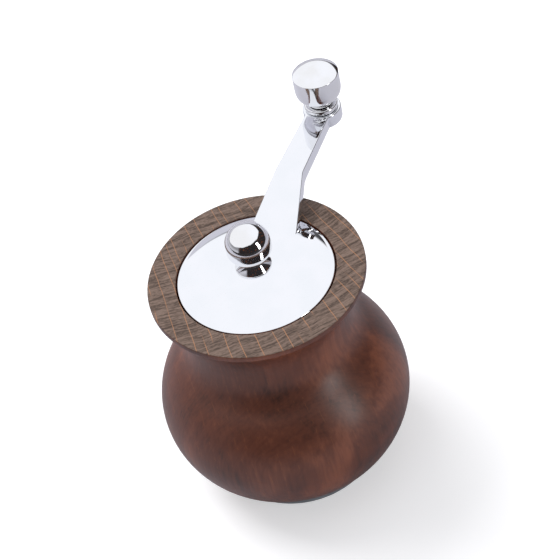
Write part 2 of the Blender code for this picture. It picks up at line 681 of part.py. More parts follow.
def dome_profile():
    """Return the profile of the dome, its rolled edge, skirt and boss."""
    roll_radius = DOME_RADIUS - DOME_ROLL
    face_steps = 4
    face = []
    for step in range(face_steps + 1):
        radius = DOME_BORE + (roll_radius - DOME_BORE) * step / face_steps
        face.append((radius, BODY_HEIGHT + dome_height(radius)))
    roll = arc((roll_radius, face[-1][1] - DOME_ROLL), DOME_ROLL, 90, 0, 3)[1:]
    skirt_base = BODY_HEIGHT - DOME_SKIRT
    skirt_bore = DOME_RADIUS - DOME_SKIRT_WALL
    boss_bore = HUB_RADIUS + CLEARANCE
    boss_radius = boss_bore + DOME_BOSS_WALL
    boss_base = HUB_BASE + CLEARANCE
    ceiling = BODY_HEIGHT + dome_height(boss_radius) - DOME_THICKNESS
    bore_end = HUB_TOP + CLEARANCE
    inside = [(DOME_RADIUS, skirt_base), (skirt_bore, skirt_base),
              (skirt_bore, BODY_HEIGHT + dome_height(skirt_bore) - DOME_THICKNESS),
              (boss_radius, ceiling), (boss_radius, boss_base), (boss_bore, boss_base),
              (boss_bore, bore_end), (DOME_BORE, bore_end)]
    return face + roll + inside


def arm_section(reach, width, top, base):
    """Return one upright cross-section of the arm, with eased edges."""
    half = width / 2
    ease = min(ARM_EDGE, (top - base) / 4)
    outline = ((-half + ease, base), (half - ease, base), (half, base + ease), (half, top - ease),
               (half - ease, top), (-half + ease, top), (-half, top - ease), (-half, base + ease))
    return [(reach, side, level) for side, level in outline]


def arm_sections():
    """Return the cross-sections of the arm, from inside the dome out to the boss."""
    root = BODY_HEIGHT + ARM_ROOT_RISE
    slope = (ARM_RISE - ARM_ROOT_RISE) / (ARM_KINK_REACH - ARM_ROOT_REACH)
    taper = (ARM_ROOT_WIDTH - ARM_KINK_WIDTH) / (ARM_KINK_REACH - ARM_ROOT_REACH)
    underside = BODY_HEIGHT + ARM_UNDERSIDE
    outer_base = ARM_TOP - ARM_THICKNESS
    overhang = DOME_RADIUS + LOOSE_CLEARANCE
    base_kink = ARM_KINK_REACH + ARM_THICKNESS * tan(atan2(slope, 1) / 2)
    base_slope = (outer_base - underside) / (base_kink - overhang)
    stations = [(ARM_ROOT_REACH - ARM_SINK, underside), (ARM_ROOT_REACH, underside),
                (overhang, underside)]
    sections = [arm_section(reach, ARM_ROOT_WIDTH + taper * (ARM_ROOT_REACH - reach),
                            root + slope * (reach - ARM_ROOT_REACH), base)
                for reach, base in stations]
    kink_base = underside + base_slope * (ARM_KINK_REACH - overhang)
    sections.append(arm_section(ARM_KINK_REACH, ARM_KINK_WIDTH, ARM_TOP, kink_base))
    sections.append(arm_section(base_kink, ARM_KINK_WIDTH, ARM_TOP, outer_base))
    sections.append(arm_section(CRANK_REACH, ARM_TIP_WIDTH, ARM_TOP, outer_base))
    return sections


def make_crank(finish):
    """Build the crank casting: dome, arm and boss in one piece, with a bore for the pin."""
    crank = make_solid("crank_casting", [turned(dome_profile(), LARGE_SIDES)], finish, looped=True)
    combine(crank, "crank_arm", [arm_sections()], "UNION")
    low = ARM_TOP - ARM_THICKNESS
    boss_centre = (CRANK_REACH, 0.0)
    ease = ARM_EDGE
    boss = [(BOSS_RADIUS - ease, low - ease), (BOSS_RADIUS, low), (BOSS_RADIUS, ARM_TOP - ease),
            (BOSS_RADIUS - ease, ARM_TOP)]
    combine(crank, "crank_boss", [turned(boss, MEDIUM_SIDES, boss_centre)], "UNION")
    combine(crank, "crank_pin_bore", [plug(PIN_BORE, low - OVERRUN, ARM_TOP + OVERRUN, SMALL_SIDES,
                                           boss_centre)], "DIFFERENCE")
    return crank


def snap_ring_level():
    """Return the level of the snap ring inside the crank's knob."""
    return KNOB_BASE + SNAP_RING_LEVEL_SHARE * KNOB_HEIGHT


def pin_top():
    """Return the level of the pin's upper end inside the knob."""
    return KNOB_BASE + KNOB_HEIGHT - PIN_TIP_ROOM - CLEARANCE


def make_pin(finish):
    """Build the pin, which is riveted under the boss and grooved for its snap ring."""
    head_top = ARM_TOP - ARM_THICKNESS - ARM_EDGE - CLEARANCE
    head_base = head_top - PIN_HEAD_HEIGHT
    groove = PIN_RADIUS - CLEARANCE - SNAP_RING_THICKNESS / 4
    ring_low = snap_ring_level() - CLEARANCE
    ring_high = snap_ring_level() + SNAP_RING_THICKNESS + CLEARANCE
    profile = [(PIN_HEAD_RADIUS / 2, head_base), (PIN_HEAD_RADIUS * 7 / 8, head_base + PIN_HEAD_HEIGHT / 3),
               (PIN_HEAD_RADIUS, head_top), (PIN_RADIUS, head_top), (PIN_RADIUS, ring_low),
               (groove, ring_low), (groove, ring_high), (PIN_RADIUS, ring_high),
               (PIN_RADIUS, pin_top())]
    axis = (CRANK_REACH, 0.0)
    return make_solid("knob_pin", [turned(profile, SMALL_SIDES, axis)], finish, axis=axis)


def make_crank_knob(finish):
    """Build the knob of the crank, bored for its pin and grooved for the snap ring."""
    top = KNOB_BASE + KNOB_HEIGHT
    side_base = top - KNOB_SIDE
    neck_top = KNOB_BASE + KNOB_NECK_HEIGHT
    ring_low = snap_ring_level() - CLEARANCE
    ring_high = snap_ring_level() + SNAP_RING_THICKNESS + CLEARANCE
    groove = SNAP_RING_RADIUS + CLEARANCE
    bore_top = pin_top() + CLEARANCE
    rounding = arc((0.0, 0.0), 1.0, -90, 0, 6)
    bowl = [(KNOB_NECK_RADIUS + (KNOB_RADIUS - KNOB_NECK_RADIUS) * across, side_base + KNOB_ROUNDING * up)
            for across, up in rounding]
    profile = [(PIN_BORE / 2, bore_top), (PIN_BORE, bore_top), (PIN_BORE, ring_high), (groove, ring_high),
               (groove, ring_low), (PIN_BORE, ring_low), (PIN_BORE, KNOB_BASE),
               (KNOB_NECK_RADIUS, KNOB_BASE), (KNOB_NECK_RADIUS, neck_top)]
    profile += bowl[1:]
    profile += arc((KNOB_RADIUS - KNOB_TOP_EDGE, top - KNOB_TOP_EDGE), KNOB_TOP_EDGE, 0, 90, 2)
    axis = (CRANK_REACH, 0.0)
    return make_solid("crank_knob", [turned(profile, MEDIUM_SIDES, axis)], finish, axis=axis)


def make_adjusting_knob(finish):
    """Build the adjusting knob: a ball on a flared foot, bored from below."""
    base = BALL_FOOT_BASE
    centre = BODY_HEIGHT + BALL_LEVEL
    neck_angle = -degrees(asin(sqrt(1 - (BALL_NECK_RADIUS / BALL_RADIUS) ** 2)))
    ball = arc((0.0, centre), BALL_RADIUS, neck_angle, 84, 11)
    foot_top = base + BALL_FOOT_EDGE
    flare = curve((BALL_FOOT_RADIUS, foot_top), (BALL_NECK_RADIUS, foot_top + BALL_FOOT_EDGE),
                  (BALL_NECK_RADIUS, (foot_top + ball[0][1]) / 2), ball[0], 6)
    bore_end = base + INSERT_SETBACK + INSERT_HEIGHT + BORE_END_ROOM
    profile = [(BALL_BORE / 2, bore_end), (BALL_BORE, bore_end), (BALL_BORE, base),
               (BALL_FOOT_RADIUS - BALL_FOOT_EDGE / 3, base),
               (BALL_FOOT_RADIUS, base + BALL_FOOT_EDGE / 3)]
    profile += flare[:-1] + ball
    return make_solid("adjusting_knob", [turned(profile, MEDIUM_SIDES)], finish)


def make_insert(finish):
    """Build the threaded insert of the adjusting knob."""
    low = BALL_FOOT_BASE + INSERT_SETBACK
    return make_washer("knob_insert", INSERT_RADIUS, INSERT_BORE, low, INSERT_HEIGHT, finish)


def make_mill():
    """Build every piece and hang them all on the mill's axis."""
    wood = make_material("stained_beech", (0.16, 0.055, 0.03), 0.0, 0.38)
    chrome = make_material("polished_chrome", (0.80, 0.80, 0.82), 1.0, 0.06)
    steel = make_material("stainless_steel", (0.56, 0.56, 0.55), 1.0, 0.30)
    grey = make_material("grey_plastic", (0.16, 0.165, 0.17), 0.0, 0.45)
    black = make_material("black_nylon", (0.02, 0.02, 0.022), 0.0, 0.5)
    ceramic = make_material("white_ceramic", (0.80, 0.79, 0.75), 0.0, 0.35)
    brass = make_material("brass", (0.72, 0.50, 0.18), 1.0, 0.25)
    nut_washer_base = ROTOR_BASE - CLEARANCE - NUT_WASHER_THICKNESS
    knob_axis = (CRANK_REACH, 0.0)
    make_body(wood)
    make_foot(grey)
    make_foot_screws(steel)
    make_stator(ceramic)
    make_spider(black)
    make_bridge(steel)
    make_bridge_screws(steel)
    make_spring(steel)
    make_bush(black)
    make_crank(chrome)
    make_hub(steel)
    make_pin(steel)
    make_washer("knob_snap_ring", SNAP_RING_RADIUS, PIN_RADIUS - SNAP_RING_THICKNESS / 4,
                snap_ring_level(), SNAP_RING_THICKNESS, steel, knob_axis)
    make_washer("knob_washer", WASHER_RADIUS, PIN_BORE, WASHER_BASE, WASHER_THICKNESS, chrome, knob_axis)
    make_crank_knob(chrome)
    make_adjusting_knob(chrome)
    make_insert(brass)
    make_washer("thrust_washer", THRUST_RADIUS, SHAFT_BORE, THRUST_BASE, THRUST_THICKNESS, steel)
    make_shaft(steel)
    make_clip("spring_clip", THRUST_BASE - CLEARANCE, steel)
    make_rotor(ceramic)
    make_clip("rotor_clip", ROTOR_TOP + CLEARANCE + CLIP_THICKNESS, steel)
    make_washer("rotor_washer", NUT_WASHER_RADIUS, SHAFT_THREAD + CLEARANCE, nut_washer_base,
                NUT_WASHER_THICKNESS, steel)
    make_nut(steel)
    axis = bpy.data.objects.new("mill_axis", None)
    axis.location = (AXIS_X, 0.0, 0.0)
    bpy.context.scene.collection.objects.link(axis)
    for thing in bpy.data.objects:
        if thing is not axis:
            thing.parent = axis


clear_scene()
make_mill()
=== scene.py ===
"""Looks of a hand cranked salt mill, dressed over its fixed solids.

Sizes are in millimetres above the table and out from the mill's own axis, with the crank along
+X. One function turns them into metres and moves them to the axis's place in the frame.
"""
from __future__ import annotations

import logging
import math
from dataclasses import dataclass, field
from enum import Enum
from typing import Callable, Sequence

import bmesh
import bpy
from mathutils import Matrix, Vector


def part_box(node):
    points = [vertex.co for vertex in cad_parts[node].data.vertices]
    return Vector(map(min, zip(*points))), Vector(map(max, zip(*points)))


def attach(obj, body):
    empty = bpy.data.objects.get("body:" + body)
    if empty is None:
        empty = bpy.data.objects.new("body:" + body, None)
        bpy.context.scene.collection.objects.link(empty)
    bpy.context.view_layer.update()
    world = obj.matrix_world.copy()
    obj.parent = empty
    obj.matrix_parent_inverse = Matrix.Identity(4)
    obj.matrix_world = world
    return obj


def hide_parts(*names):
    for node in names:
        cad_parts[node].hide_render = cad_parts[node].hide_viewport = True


LOG = logging.getLogger("salt_mill")
MM = 0.001
# The square hole that the drive shaft goes through, and how far its corners reach
SHAFT_HOLE = 4.6
HOLE_CORNER = SHAFT_HOLE / math.sqrt(2)

Point = tuple[float, float]
Corner = tuple[float, float, float]
Ring = list[tuple[float, float, float]]
Colour = tuple[float, float, float, float]

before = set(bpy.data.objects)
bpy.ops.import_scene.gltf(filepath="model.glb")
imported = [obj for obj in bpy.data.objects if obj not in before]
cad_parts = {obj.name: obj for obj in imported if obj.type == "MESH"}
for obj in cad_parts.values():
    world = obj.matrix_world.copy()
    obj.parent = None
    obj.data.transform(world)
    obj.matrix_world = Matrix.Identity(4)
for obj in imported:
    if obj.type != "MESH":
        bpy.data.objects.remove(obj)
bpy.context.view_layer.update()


class Body(Enum):
    """The moving bodies of the mill."""

    MILL = "mill_body"
    BUSH = "bush"
    CRANK = "crank"
    CRANK_KNOB = "crank_knob"
    ADJUSTER = "adjuster"
    THRUST = "thrust"
    DRIVE = "drive"


class Slot(Enum):
    """The record's finishes."""

    BEECH = "stained_beech"
    CHROME = "polished_chrome"
    STEEL = "stainless_steel"
    GREY = "grey_plastic"
    NYLON = "black_nylon"
    CERAMIC = "white_ceramic"
    BRASS = "brass"


def mill_axis() -> Vector:
    """Return the place of the mill's own axis on the table plane, in metres."""
    low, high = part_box("adjusting_knob")
    return Vector(((low.x + high.x) / 2, (low.y + high.y) / 2, 0.0))


def srgb(code: str) -> Colour:
    """Turn an sRGB hex value into linear light.

    Args:
        code: Six hex digits.

    Returns:
        Red, green, blue and a full alpha.
    """
    shares = [int(code[start:start + 2], 16) / 255 for start in (0, 2, 4)]
    linear = [s / 12.92 if s <= 0.04045 else ((s + 0.055) / 1.055) ** 2.4 for s in shares]
    return (linear[0], linear[1], linear[2], 1.0)


def add_node(tree: bpy.types.NodeTree, kind: str, values: dict | None = None,
             **settings: object) -> bpy.types.Node:
    """Add a node with its settings, and fill or link its inputs.

    Args:
        tree: The tree that the node goes into.
        kind: The node's type name.
        values: For an input's name or index, the socket to link or the value to hold.
        settings: Attributes of the node.

    Returns:
        The node.
    """
    node = tree.nodes.new(kind)
    for name, value in settings.items():
        setattr(node, name, value)
    for key, value in (values or {}).items():
        socket = node.inputs[key]
        if isinstance(value, bpy.types.NodeSocket):
            tree.links.new(value, socket)
        else:
            socket.default_value = value
    return node


def smooth_most(first: float, second: float, reach: float) -> float:
    """Return the larger of two values, rounded where they are about as large.

    Args:
        first: One value.
        second: The other value.
        reach: How far apart the values are where the rounding ends.

    Returns:
        The larger value, lifted a little near the place where they cross.
    """
    share = max(reach - abs(first - second), 0.0) / reach
    return max(first, second) + share * share * reach / 4


# Shapes ---------------------------------------------------------------------


def eased(corners: Sequence[Corner], steps: int = 4) -> list[Point]:
    """Round the corners of a closed outline.

    Args:
        corners: Radius out from the axis, level and easing radius of each corner.
        steps: Steps in each rounding.

    Returns:
        The points of the outline.
    """
    points: list[Point] = []
    count = len(corners)
    for index, (across, up, ease) in enumerate(corners):
        here = Vector((across, up))
        before = Vector(corners[index - 1][:2]) - here
        after = Vector(corners[(index + 1) % count][:2]) - here
        if ease <= 0 or before.length < 1e-6 or after.length < 1e-6:
            points.append((across, up))
            continue
        angle = before.angle(after)
        if angle > math.radians(179):
            points.append((across, up))
            continue
        reach = min(ease / math.tan(angle / 2), before.length * 0.49, after.length * 0.49)
        radius = reach * math.tan(angle / 2)
        middle = here + (before.normalized() + after.normalized()).normalized() * (
            radius / math.sin(angle / 2))
        start = here + before.normalized() * reach - middle
        end = here + after.normalized() * reach - middle
        turn = start.angle_signed(end)
        for step in range(steps + 1):
            spun = Matrix.Rotation(-turn * step / steps, 2) @ start
            points.append((middle.x + spun.x, middle.y + spun.y))
    return points


def bowed(start: Point, start_pull: Point, end_pull: Point, end: Point, steps: int) -> list[Corner]:
    """Return the points of a cubic curve.

    Args:
        start: Where the curve starts.
        start_pull: The control point by its start.
        end_pull: The control point by its end.
        end: Where it ends.
        steps: Steps along it.

    Returns:
        Corners that need no easing.
    """
    found: list[Corner] = []
    for step in range(steps + 1):
        t = step / steps
        weights = ((1 - t) ** 3, 3 * t * (1 - t) ** 2, 3 * t * t * (1 - t), t ** 3)
        ends = (start, start_pull, end_pull, end)
        found.append((sum(w * p[0] for w, p in zip(weights, ends)),
                      sum(w * p[1] for w, p in zip(weights, ends)), 0.0))
    return found


def arched(centre: Point, across: float, up: float, first: float, last: float,
           steps: int) -> list[Corner]:
    """Return points along an elliptical arc.

    Args:
        centre: The middle of the ellipse.
        across: Half its width.
        up: Half its height.
        first: The angle in degrees where the arc starts.
        last: The angle in degrees where it ends.
        steps: Steps along it.

    Returns:
        Corners that need no easing.
    """
    angles = [math.radians(first + (last - first) * step / steps) for step in range(steps + 1)]
    return [(centre[0] + across * math.cos(a), centre[1] + up * math.sin(a), 0.0) for a in angles]


def turn_outline(outline: Sequence[Point], sides: int, centre: Point = (0.0, 0.0)) -> bmesh.types.BMesh:
    """Turn a closed outline round an upright axis, as on a lathe.

    Args:
        outline: Radii and levels. A radius of zero becomes a pole.
        sides: Points round the axis.
        centre: Where the axis stands.

    Returns:
        The turned shape.
    """
    shape = bmesh.new()
    rows: list[list[bmesh.types.BMVert]] = []
    for radius, level in outline:
        if radius < 1e-6:
            rows.append([shape.verts.new((centre[0], centre[1], level))])
            continue
        rows.append([shape.verts.new((centre[0] + radius * math.cos(2 * math.pi * step / sides),
                                      centre[1] + radius * math.sin(2 * math.pi * step / sides),
                                      level)) for step in range(sides)])
    for low, high in zip(rows, rows[1:] + rows[:1]):
        if len(low) == 1 and len(high) == 1:
            continue
        for step in range(sides):
            after = (step + 1) % sides
            corners = [low[step % len(low)], low[after % len(low)],
                       high[after % len(high)], high[step % len(high)]]
            unlike = [v for place, v in enumerate(corners) if v not in corners[:place]]
            shape.faces.new(unlike)
    return shape


def loft_rings(rings: Sequence[Ring], closed: bool = False) -> bmesh.types.BMesh:
    """Skin a row of rings that have the same count of points.

    Args:
        rings: The rings in order.
        closed: Whether the last ring meets the first, instead of both ending in caps.

    Returns:
        The skinned shape.
    """
    shape = bmesh.new()
    rows = [[shape.verts.new(point) for point in ring] for ring in rings]
    pairs = list(zip(rows, rows[1:]))
    if closed:
        pairs.append((rows[-1], rows[0]))
    for low, high in pairs:
        for step in range(len(low)):
            after = (step + 1) % len(low)
            shape.faces.new((low[step], low[after], high[after], high[step]))
    if not closed:
        shape.faces.new(rows[0][::-1])
        shape.faces.new(rows[-1])
    return shape


def polygon_ring(width: float, sides: int, level: float, count: int, ease: float = 0.12) -> Ring:
    """Return a level ring on a regular polygon with softened corners.

    Args:
        width: The polygon's width across its flats.
        sides: Its count of sides.
        level: The ring's level.
        count: Points in the ring.
        ease: The share of the corners' reach that is cut off.

    Returns:
        The ring.
    """
    ring: Ring = []
    limit = width / 2 / math.cos(math.pi / sides) * (1 - ease)
    for step in range(count):
        turn = 2 * math.pi * step / count
        off_flat = (turn + math.pi / sides) % (2 * math.pi / sides) - math.pi / sides
        reach = min(width / 2 / math.cos(off_flat), limit)
        ring.append((reach * math.cos(turn), reach * math.sin(turn), level))
    return ring


def round_ring(radius: float, level: float, count: int) -> Ring:
    """Return a level ring of points on a circle."""
    return [(radius * math.cos(2 * math.pi * step / count),
             radius * math.sin(2 * math.pi * step / count), level) for step in range(count)]


def join_shapes(shapes: Sequence[bmesh.types.BMesh]) -> bmesh.types.BMesh:
    """Put the faces of several shapes into the first one.

    Args:
        shapes: The shapes. All but the first are used up.

    Returns:
        The first shape.
    """
    first = shapes[0]
    for other in shapes[1:]:
        copied = bpy.data.meshes.new("part")
        other.to_mesh(copied)
        first.from_mesh(copied)
        bpy.data.meshes.remove(copied)
        other.free()
    return first


def make_blank(name: str, shape: bmesh.types.BMesh) -> bpy.types.Object:
    """Make an object of a shape that is still in millimetres about the mill's axis.

    Args:
        name: The object's name.
        shape: The shape, which is used up.

    Returns:
        The object.
    """
    bmesh.ops.recalc_face_normals(shape, faces=shape.faces)
    mesh = bpy.data.meshes.new(name)
    shape.to_mesh(mesh)
    shape.free()
    thing = bpy.data.objects.new(name, mesh)
    bpy.context.scene.collection.objects.link(thing)
    return thing


def settle(thing: bpy.types.Object) -> bpy.types.Object:
    """Turn what an object's modifiers make into its plain mesh, and drop the modifiers.

    Args:
        thing: The object.

    Returns:
        The same object.
    """
    bpy.context.view_layer.update()
    graph = bpy.context.evaluated_depsgraph_get()
    made = bpy.data.meshes.new_from_object(thing.evaluated_get(graph))
    thing.modifiers.clear()
    spare = thing.data
    thing.data = made
    if spare.users == 0:
        bpy.data.meshes.remove(spare)
    made.name = thing.name
    return thing


def combine(thing: bpy.types.Object, other: bpy.types.Object, operation: str) -> bpy.types.Object:
    """Join or cut an object by another one.

    Args:
        thing: The object that stays.
        other: The object that is used up.
        operation: Boolean operation, UNION or DIFFERENCE.

    Returns:
        The object that stays.
    """
    change = thing.modifiers.new("combine", "BOOLEAN")
    change.operation = operation
    change.solver = "EXACT"
    change.object = other
    settle(thing)
    bpy.data.objects.remove(other, do_unlink=True)
    return thing


def finish_piece(thing: bpy.types.Object, look: bpy.types.Material, body: Body, slot: Slot,
                 *nodes: str, crease: float = 32.0) -> bpy.types.Object:
    """Scale a piece to metres, move it to its place and let it stand for its nodes.

    Args:
        thing: The piece, in millimetres about the mill's axis.
        look: Its material.
        body: The body that it rides on.
        slot: Not used.
        nodes: The CAD nodes that it stands for.
        crease: The angle in degrees past which an edge is shaded sharp.

    Returns:
        The piece.
    """
    mesh = thing.data
    mesh.transform(Matrix.Translation(mill_axis()) @ Matrix.Scale(MM, 4))
    mesh.materials.clear()
    mesh.materials.append(look)
    mesh.shade_smooth()
    mesh.set_sharp_from_angle(angle=math.radians(crease))
    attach(thing, body.value)
    if nodes:
        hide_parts(*nodes)
    LOG.info("%s: %d faces on %s, stands for %s", thing.name, len(mesh.polygons), body.value,
             ", ".join(nodes) or "nothing")
    return thing


# Geometry Nodes -------------------------------------------------------------


@dataclass
class ShapeTree:
    """A Geometry Nodes tree with named inputs, turned into a plain mesh once."""

    name: str
    tree: bpy.types.NodeTree = field(init=False)
    sockets: dict[str, str] = field(init=False, default_factory=dict)
    entry: bpy.types.Node = field(init=False)

    def __post_init__(self) -> None:
        """Make the tree with its geometry input and output."""
        self.tree = bpy.data.node_groups.new(self.name, "GeometryNodeTree")
        self.tree.is_modifier = True
        self.tree.interface.new_socket("Geometry", in_out="INPUT", socket_type="NodeSocketGeometry")
        self.tree.interface.new_socket("Geometry", in_out="OUTPUT", socket_type="NodeSocketGeometry")
        self.entry = self.tree.nodes.new("NodeGroupInput")

    def size(self, name: str, kind: str = "NodeSocketFloat") -> bpy.types.NodeSocket:
        """Add a named input and return the socket that gives its value."""
        made = self.tree.interface.new_socket(name, in_out="INPUT", socket_type=kind)
        self.sockets[name] = made.identifier
        return self.entry.outputs[name]

    def node(self, kind: str, values: dict | None = None, **settings: object) -> bpy.types.Node:
        """Add a node to the tree."""
        return add_node(self.tree, kind, values, **settings)

    def maths(self, operation: str, *values: object) -> bpy.types.NodeSocket:
        """Add a calculation and return its result."""
        return self.node("ShaderNodeMath", dict(enumerate(values)), operation=operation).outputs[0]

    def close(self, geometry: bpy.types.NodeSocket) -> None:
        """End the tree: make instances real, set the material and hand the geometry over."""
        look = self.size("Finish", "NodeSocketMaterial")
        real = self.node("GeometryNodeRealizeInstances", {"Geometry": geometry})
        dressed = self.node("GeometryNodeSetMaterial", {"Geometry": real.outputs[0], "Material": look})
        self.node("NodeGroupOutput", {"Geometry": dressed.outputs[0]})

    def grow(self, thing: bpy.types.Object, sizes: dict[str, object]) -> bpy.types.Object:
        """Run the tree on an object and keep the result as its plain mesh.

        Args:
            thing: The object that the tree starts from.
            sizes: The value of each named input.

        Returns:
            The object, without the modifier.
        """
        change = thing.modifiers.new(self.name, "NODES")
        change.node_group = self.tree
        for name, value in sizes.items():
            change[self.sockets[name]] = value
        return settle(thing)


def ring_cut_tree() -> ShapeTree:
    """Return a tree that cuts one shape out of a piece at even steps round the axis."""
    made = ShapeTree("ring_of_cuts")
    count = made.size("Count", "NodeSocketInt")
    radius = made.size("Radius")
    first = made.size("First angle")
    cutter = made.size("Cutter", "NodeSocketObject")
    circle = made.node("GeometryNodeMeshCircle", {"Vertices": count, "Radius": radius})
    start = made.node("ShaderNodeCombineXYZ", {"Z": first})
    placed = made.node("GeometryNodeTransform", {"Geometry": circle.outputs[0],
                                                 "Rotation": start.outputs[0]})
    index = made.node("GeometryNodeInputIndex").outputs[0]
    turn = made.maths("ADD", made.maths("DIVIDE", made.maths("MULTIPLY", index, math.tau), count), first)
    facing = made.node("ShaderNodeCombineXYZ", {"Z": turn})
    shape = made.node("GeometryNodeObjectInfo", {"Object": cutter})
    many = made.node("GeometryNodeInstanceOnPoints", {
        "Points": placed.outputs[0], "Instance": shape.outputs["Geometry"],
        "Rotation": facing.outputs[0]})
    cut = made.node("GeometryNodeMeshBoolean", operation="DIFFERENCE", solver="EXACT")
    made.tree.links.new(made.entry.outputs["Geometry"], cut.inputs["Mesh 1"])
    made.tree.links.new(many.outputs[0], cut.inputs["Mesh 2"])
    made.close(cut.outputs["Mesh"])
    return made


def ring_of_tree() -> ShapeTree:
    """Return a tree that repeats a piece at even steps round the axis, such as screws."""
    made = ShapeTree("ring_of_screws")
    count = made.size("Count", "NodeSocketInt")
    radius = made.size("Radius")
    first = made.size("First angle")
    circle = made.node("GeometryNodeMeshCircle", {"Vertices": count, "Radius": radius})
    start = made.node("ShaderNodeCombineXYZ", {"Z": first})
    placed = made.node("GeometryNodeTransform", {"Geometry": circle.outputs[0],
                                                 "Rotation": start.outputs[0]})
    index = made.node("GeometryNodeInputIndex").outputs[0]
    # Each screw stops at another angle, as screws do when they are driven home
    facing = made.node("ShaderNodeCombineXYZ", {"Z": made.maths("MULTIPLY", index, 0.83)})
    many = made.node("GeometryNodeInstanceOnPoints", {
        "Points": placed.outputs[0], "Instance": made.entry.outputs["Geometry"],
        "Rotation": facing.outputs[0]})
    made.close(many.outputs[0])
    return made


def winding_tree() -> ShapeTree:
    """Return a tree that sweeps a round or ridged wire along a helix, for springs and threads."""
    made = ShapeTree("winding")
    radius = made.size("Radius")
    turns = made.size("Turns")
    low = made.size("Low end")
    height = made.size("Height")
    wire = made.size("Wire radius")
    sides = made.size("Wire sides", "NodeSocketInt")
    steps = made.size("Steps in a turn", "NodeSocketInt")
    helix = made.node("GeometryNodeCurveSpiral", {
        "Resolution": steps, "Rotations": turns, "Start Radius": radius, "End Radius": radius,
        "Height": height})
    raised = made.node("GeometryNodeTransform", {
        "Geometry": helix.outputs[0],
        "Translation": made.node("ShaderNodeCombineXYZ", {"Z": low}).outputs[0]})
    profile = made.node("GeometryNodeCurvePrimitiveCircle", {"Resolution": sides, "Radius": wire})
    swept = made.node("GeometryNodeCurveToMesh", {
        "Curve": raised.outputs[0], "Profile Curve": profile.outputs[0], "Fill Caps": True})
    both = made.node("GeometryNodeJoinGeometry")
    made.tree.links.new(swept.outputs[0], both.inputs[0])
    made.tree.links.new(made.entry.outputs["Geometry"], both.inputs[0])
    made.close(both.outputs[0])
    return made


def tooth_tree() -> ShapeTree:
    """Return a tree that cuts leading saw teeth into a turned face, where it is marked for them."""
    made = ShapeTree("saw_teeth")
    teeth = made.size("Teeth")
    depth = made.size("Tooth depth")
    lead = made.size("Lead")
    rise = made.size("Rise share")
    place = made.node("GeometryNodeInputPosition")
    parts = made.node("ShaderNodeSeparateXYZ", {0: place.outputs[0]})
    angle = made.maths("ARCTAN2", parts.outputs[1], parts.outputs[0])
    led = made.maths("ADD", angle, made.maths("MULTIPLY", parts.outputs[2], lead))
    phase = made.maths("FRACT", made.maths("MULTIPLY", made.maths("DIVIDE", led, math.tau), teeth))
    up = made.maths("DIVIDE", phase, rise)
    down = made.maths("DIVIDE", made.maths("SUBTRACT", 1.0, phase), made.maths("SUBTRACT", 1.0, rise))
    saw = made.maths("MINIMUM", up, down)
    marked = made.node("GeometryNodeInputNamedAttribute", {"Name": "toothed"}, data_type="FLOAT")
    reach = made.maths("MULTIPLY", made.maths("MULTIPLY", saw, depth), marked.outputs[0])
    flat = made.node("ShaderNodeCombineXYZ", {"X": parts.outputs[0], "Y": parts.outputs[1]})
    outward = made.node("ShaderNodeVectorMath", {0: flat.outputs[0]}, operation="NORMALIZE")
    shift = made.node("ShaderNodeVectorMath", {0: outward.outputs[0], "Scale": reach}, operation="SCALE")
    moved = made.node("GeometryNodeSetPosition", {
        "Geometry": made.entry.outputs["Geometry"], "Offset": shift.outputs[0]})
    made.close(moved.outputs[0])
    return made


# Finishes -------------------------------------------------------------------


def start_look(name: str) -> tuple[bpy.types.Material, bpy.types.NodeTree, bpy.types.Node]:
    """Make a named material and return it with its tree and its shader."""
    look = bpy.data.materials.new(name)
    look.use_nodes = True
    tree = look.node_tree
    return look, tree, tree.nodes["Principled BSDF"]


def object_place(tree: bpy.types.NodeTree) -> bpy.types.NodeSocket:
    """Return the object's coordinates in millimetres, centred on the mill's axis."""
    coordinates = add_node(tree, "ShaderNodeTexCoord")
    centred = add_node(tree, "ShaderNodeVectorMath", {
        0: coordinates.outputs["Object"], 1: tuple(mill_axis())}, operation="SUBTRACT")
    return add_node(tree, "ShaderNodeVectorMath", {0: centred.outputs[0], "Scale": 1 / MM},
                    operation="SCALE").outputs[0]


def calc(tree: bpy.types.NodeTree, operation: str, *values: object) -> bpy.types.NodeSocket:
    """Add a calculation to a material and return its result."""
    return add_node(tree, "ShaderNodeMath", dict(enumerate(values)), operation=operation).outputs[0]


def remap(tree: bpy.types.NodeTree, value: bpy.types.NodeSocket, low: float, high: float,
          to_low: float = 0.0, to_high: float = 1.0, smooth: bool = True) -> bpy.types.NodeSocket:
    """Map a value from one range onto another.

    Args:
        tree: The material's tree.
        value: The value.
        low: Where the first range starts.
        high: Where the first range ends.
        to_low: Where the second range starts.
        to_high: Where the second range ends.
        smooth: Whether it is eased at both ends.

    Returns:
        The mapped value.
    """
    kind = "SMOOTHSTEP" if smooth else "LINEAR"
    return add_node(tree, "ShaderNodeMapRange", {
        "Value": value, "From Min": low, "From Max": high, "To Min": to_low, "To Max": to_high},
        interpolation_type=kind).outputs[0]


def blend_colours(tree: bpy.types.NodeTree, share: object, first: object, second: object,
                  kind: str = "MIX") -> bpy.types.NodeSocket:
    """Blend two colours.

    Args:
        tree: The material's tree.
        share: How much there is of the second colour.
        first: The first colour or its socket.
        second: The second colour or its socket.
        kind: The way of blending.

    Returns:
        The blended colour.
    """
    mixed = add_node(tree, "ShaderNodeMix", data_type="RGBA", blend_type=kind)
    for socket, value in ((mixed.inputs[0], share), (mixed.inputs[6], first), (mixed.inputs[7], second)):
        if isinstance(value, bpy.types.NodeSocket):
            tree.links.new(value, socket)
        else:
            socket.default_value = value
    return mixed.outputs[2]


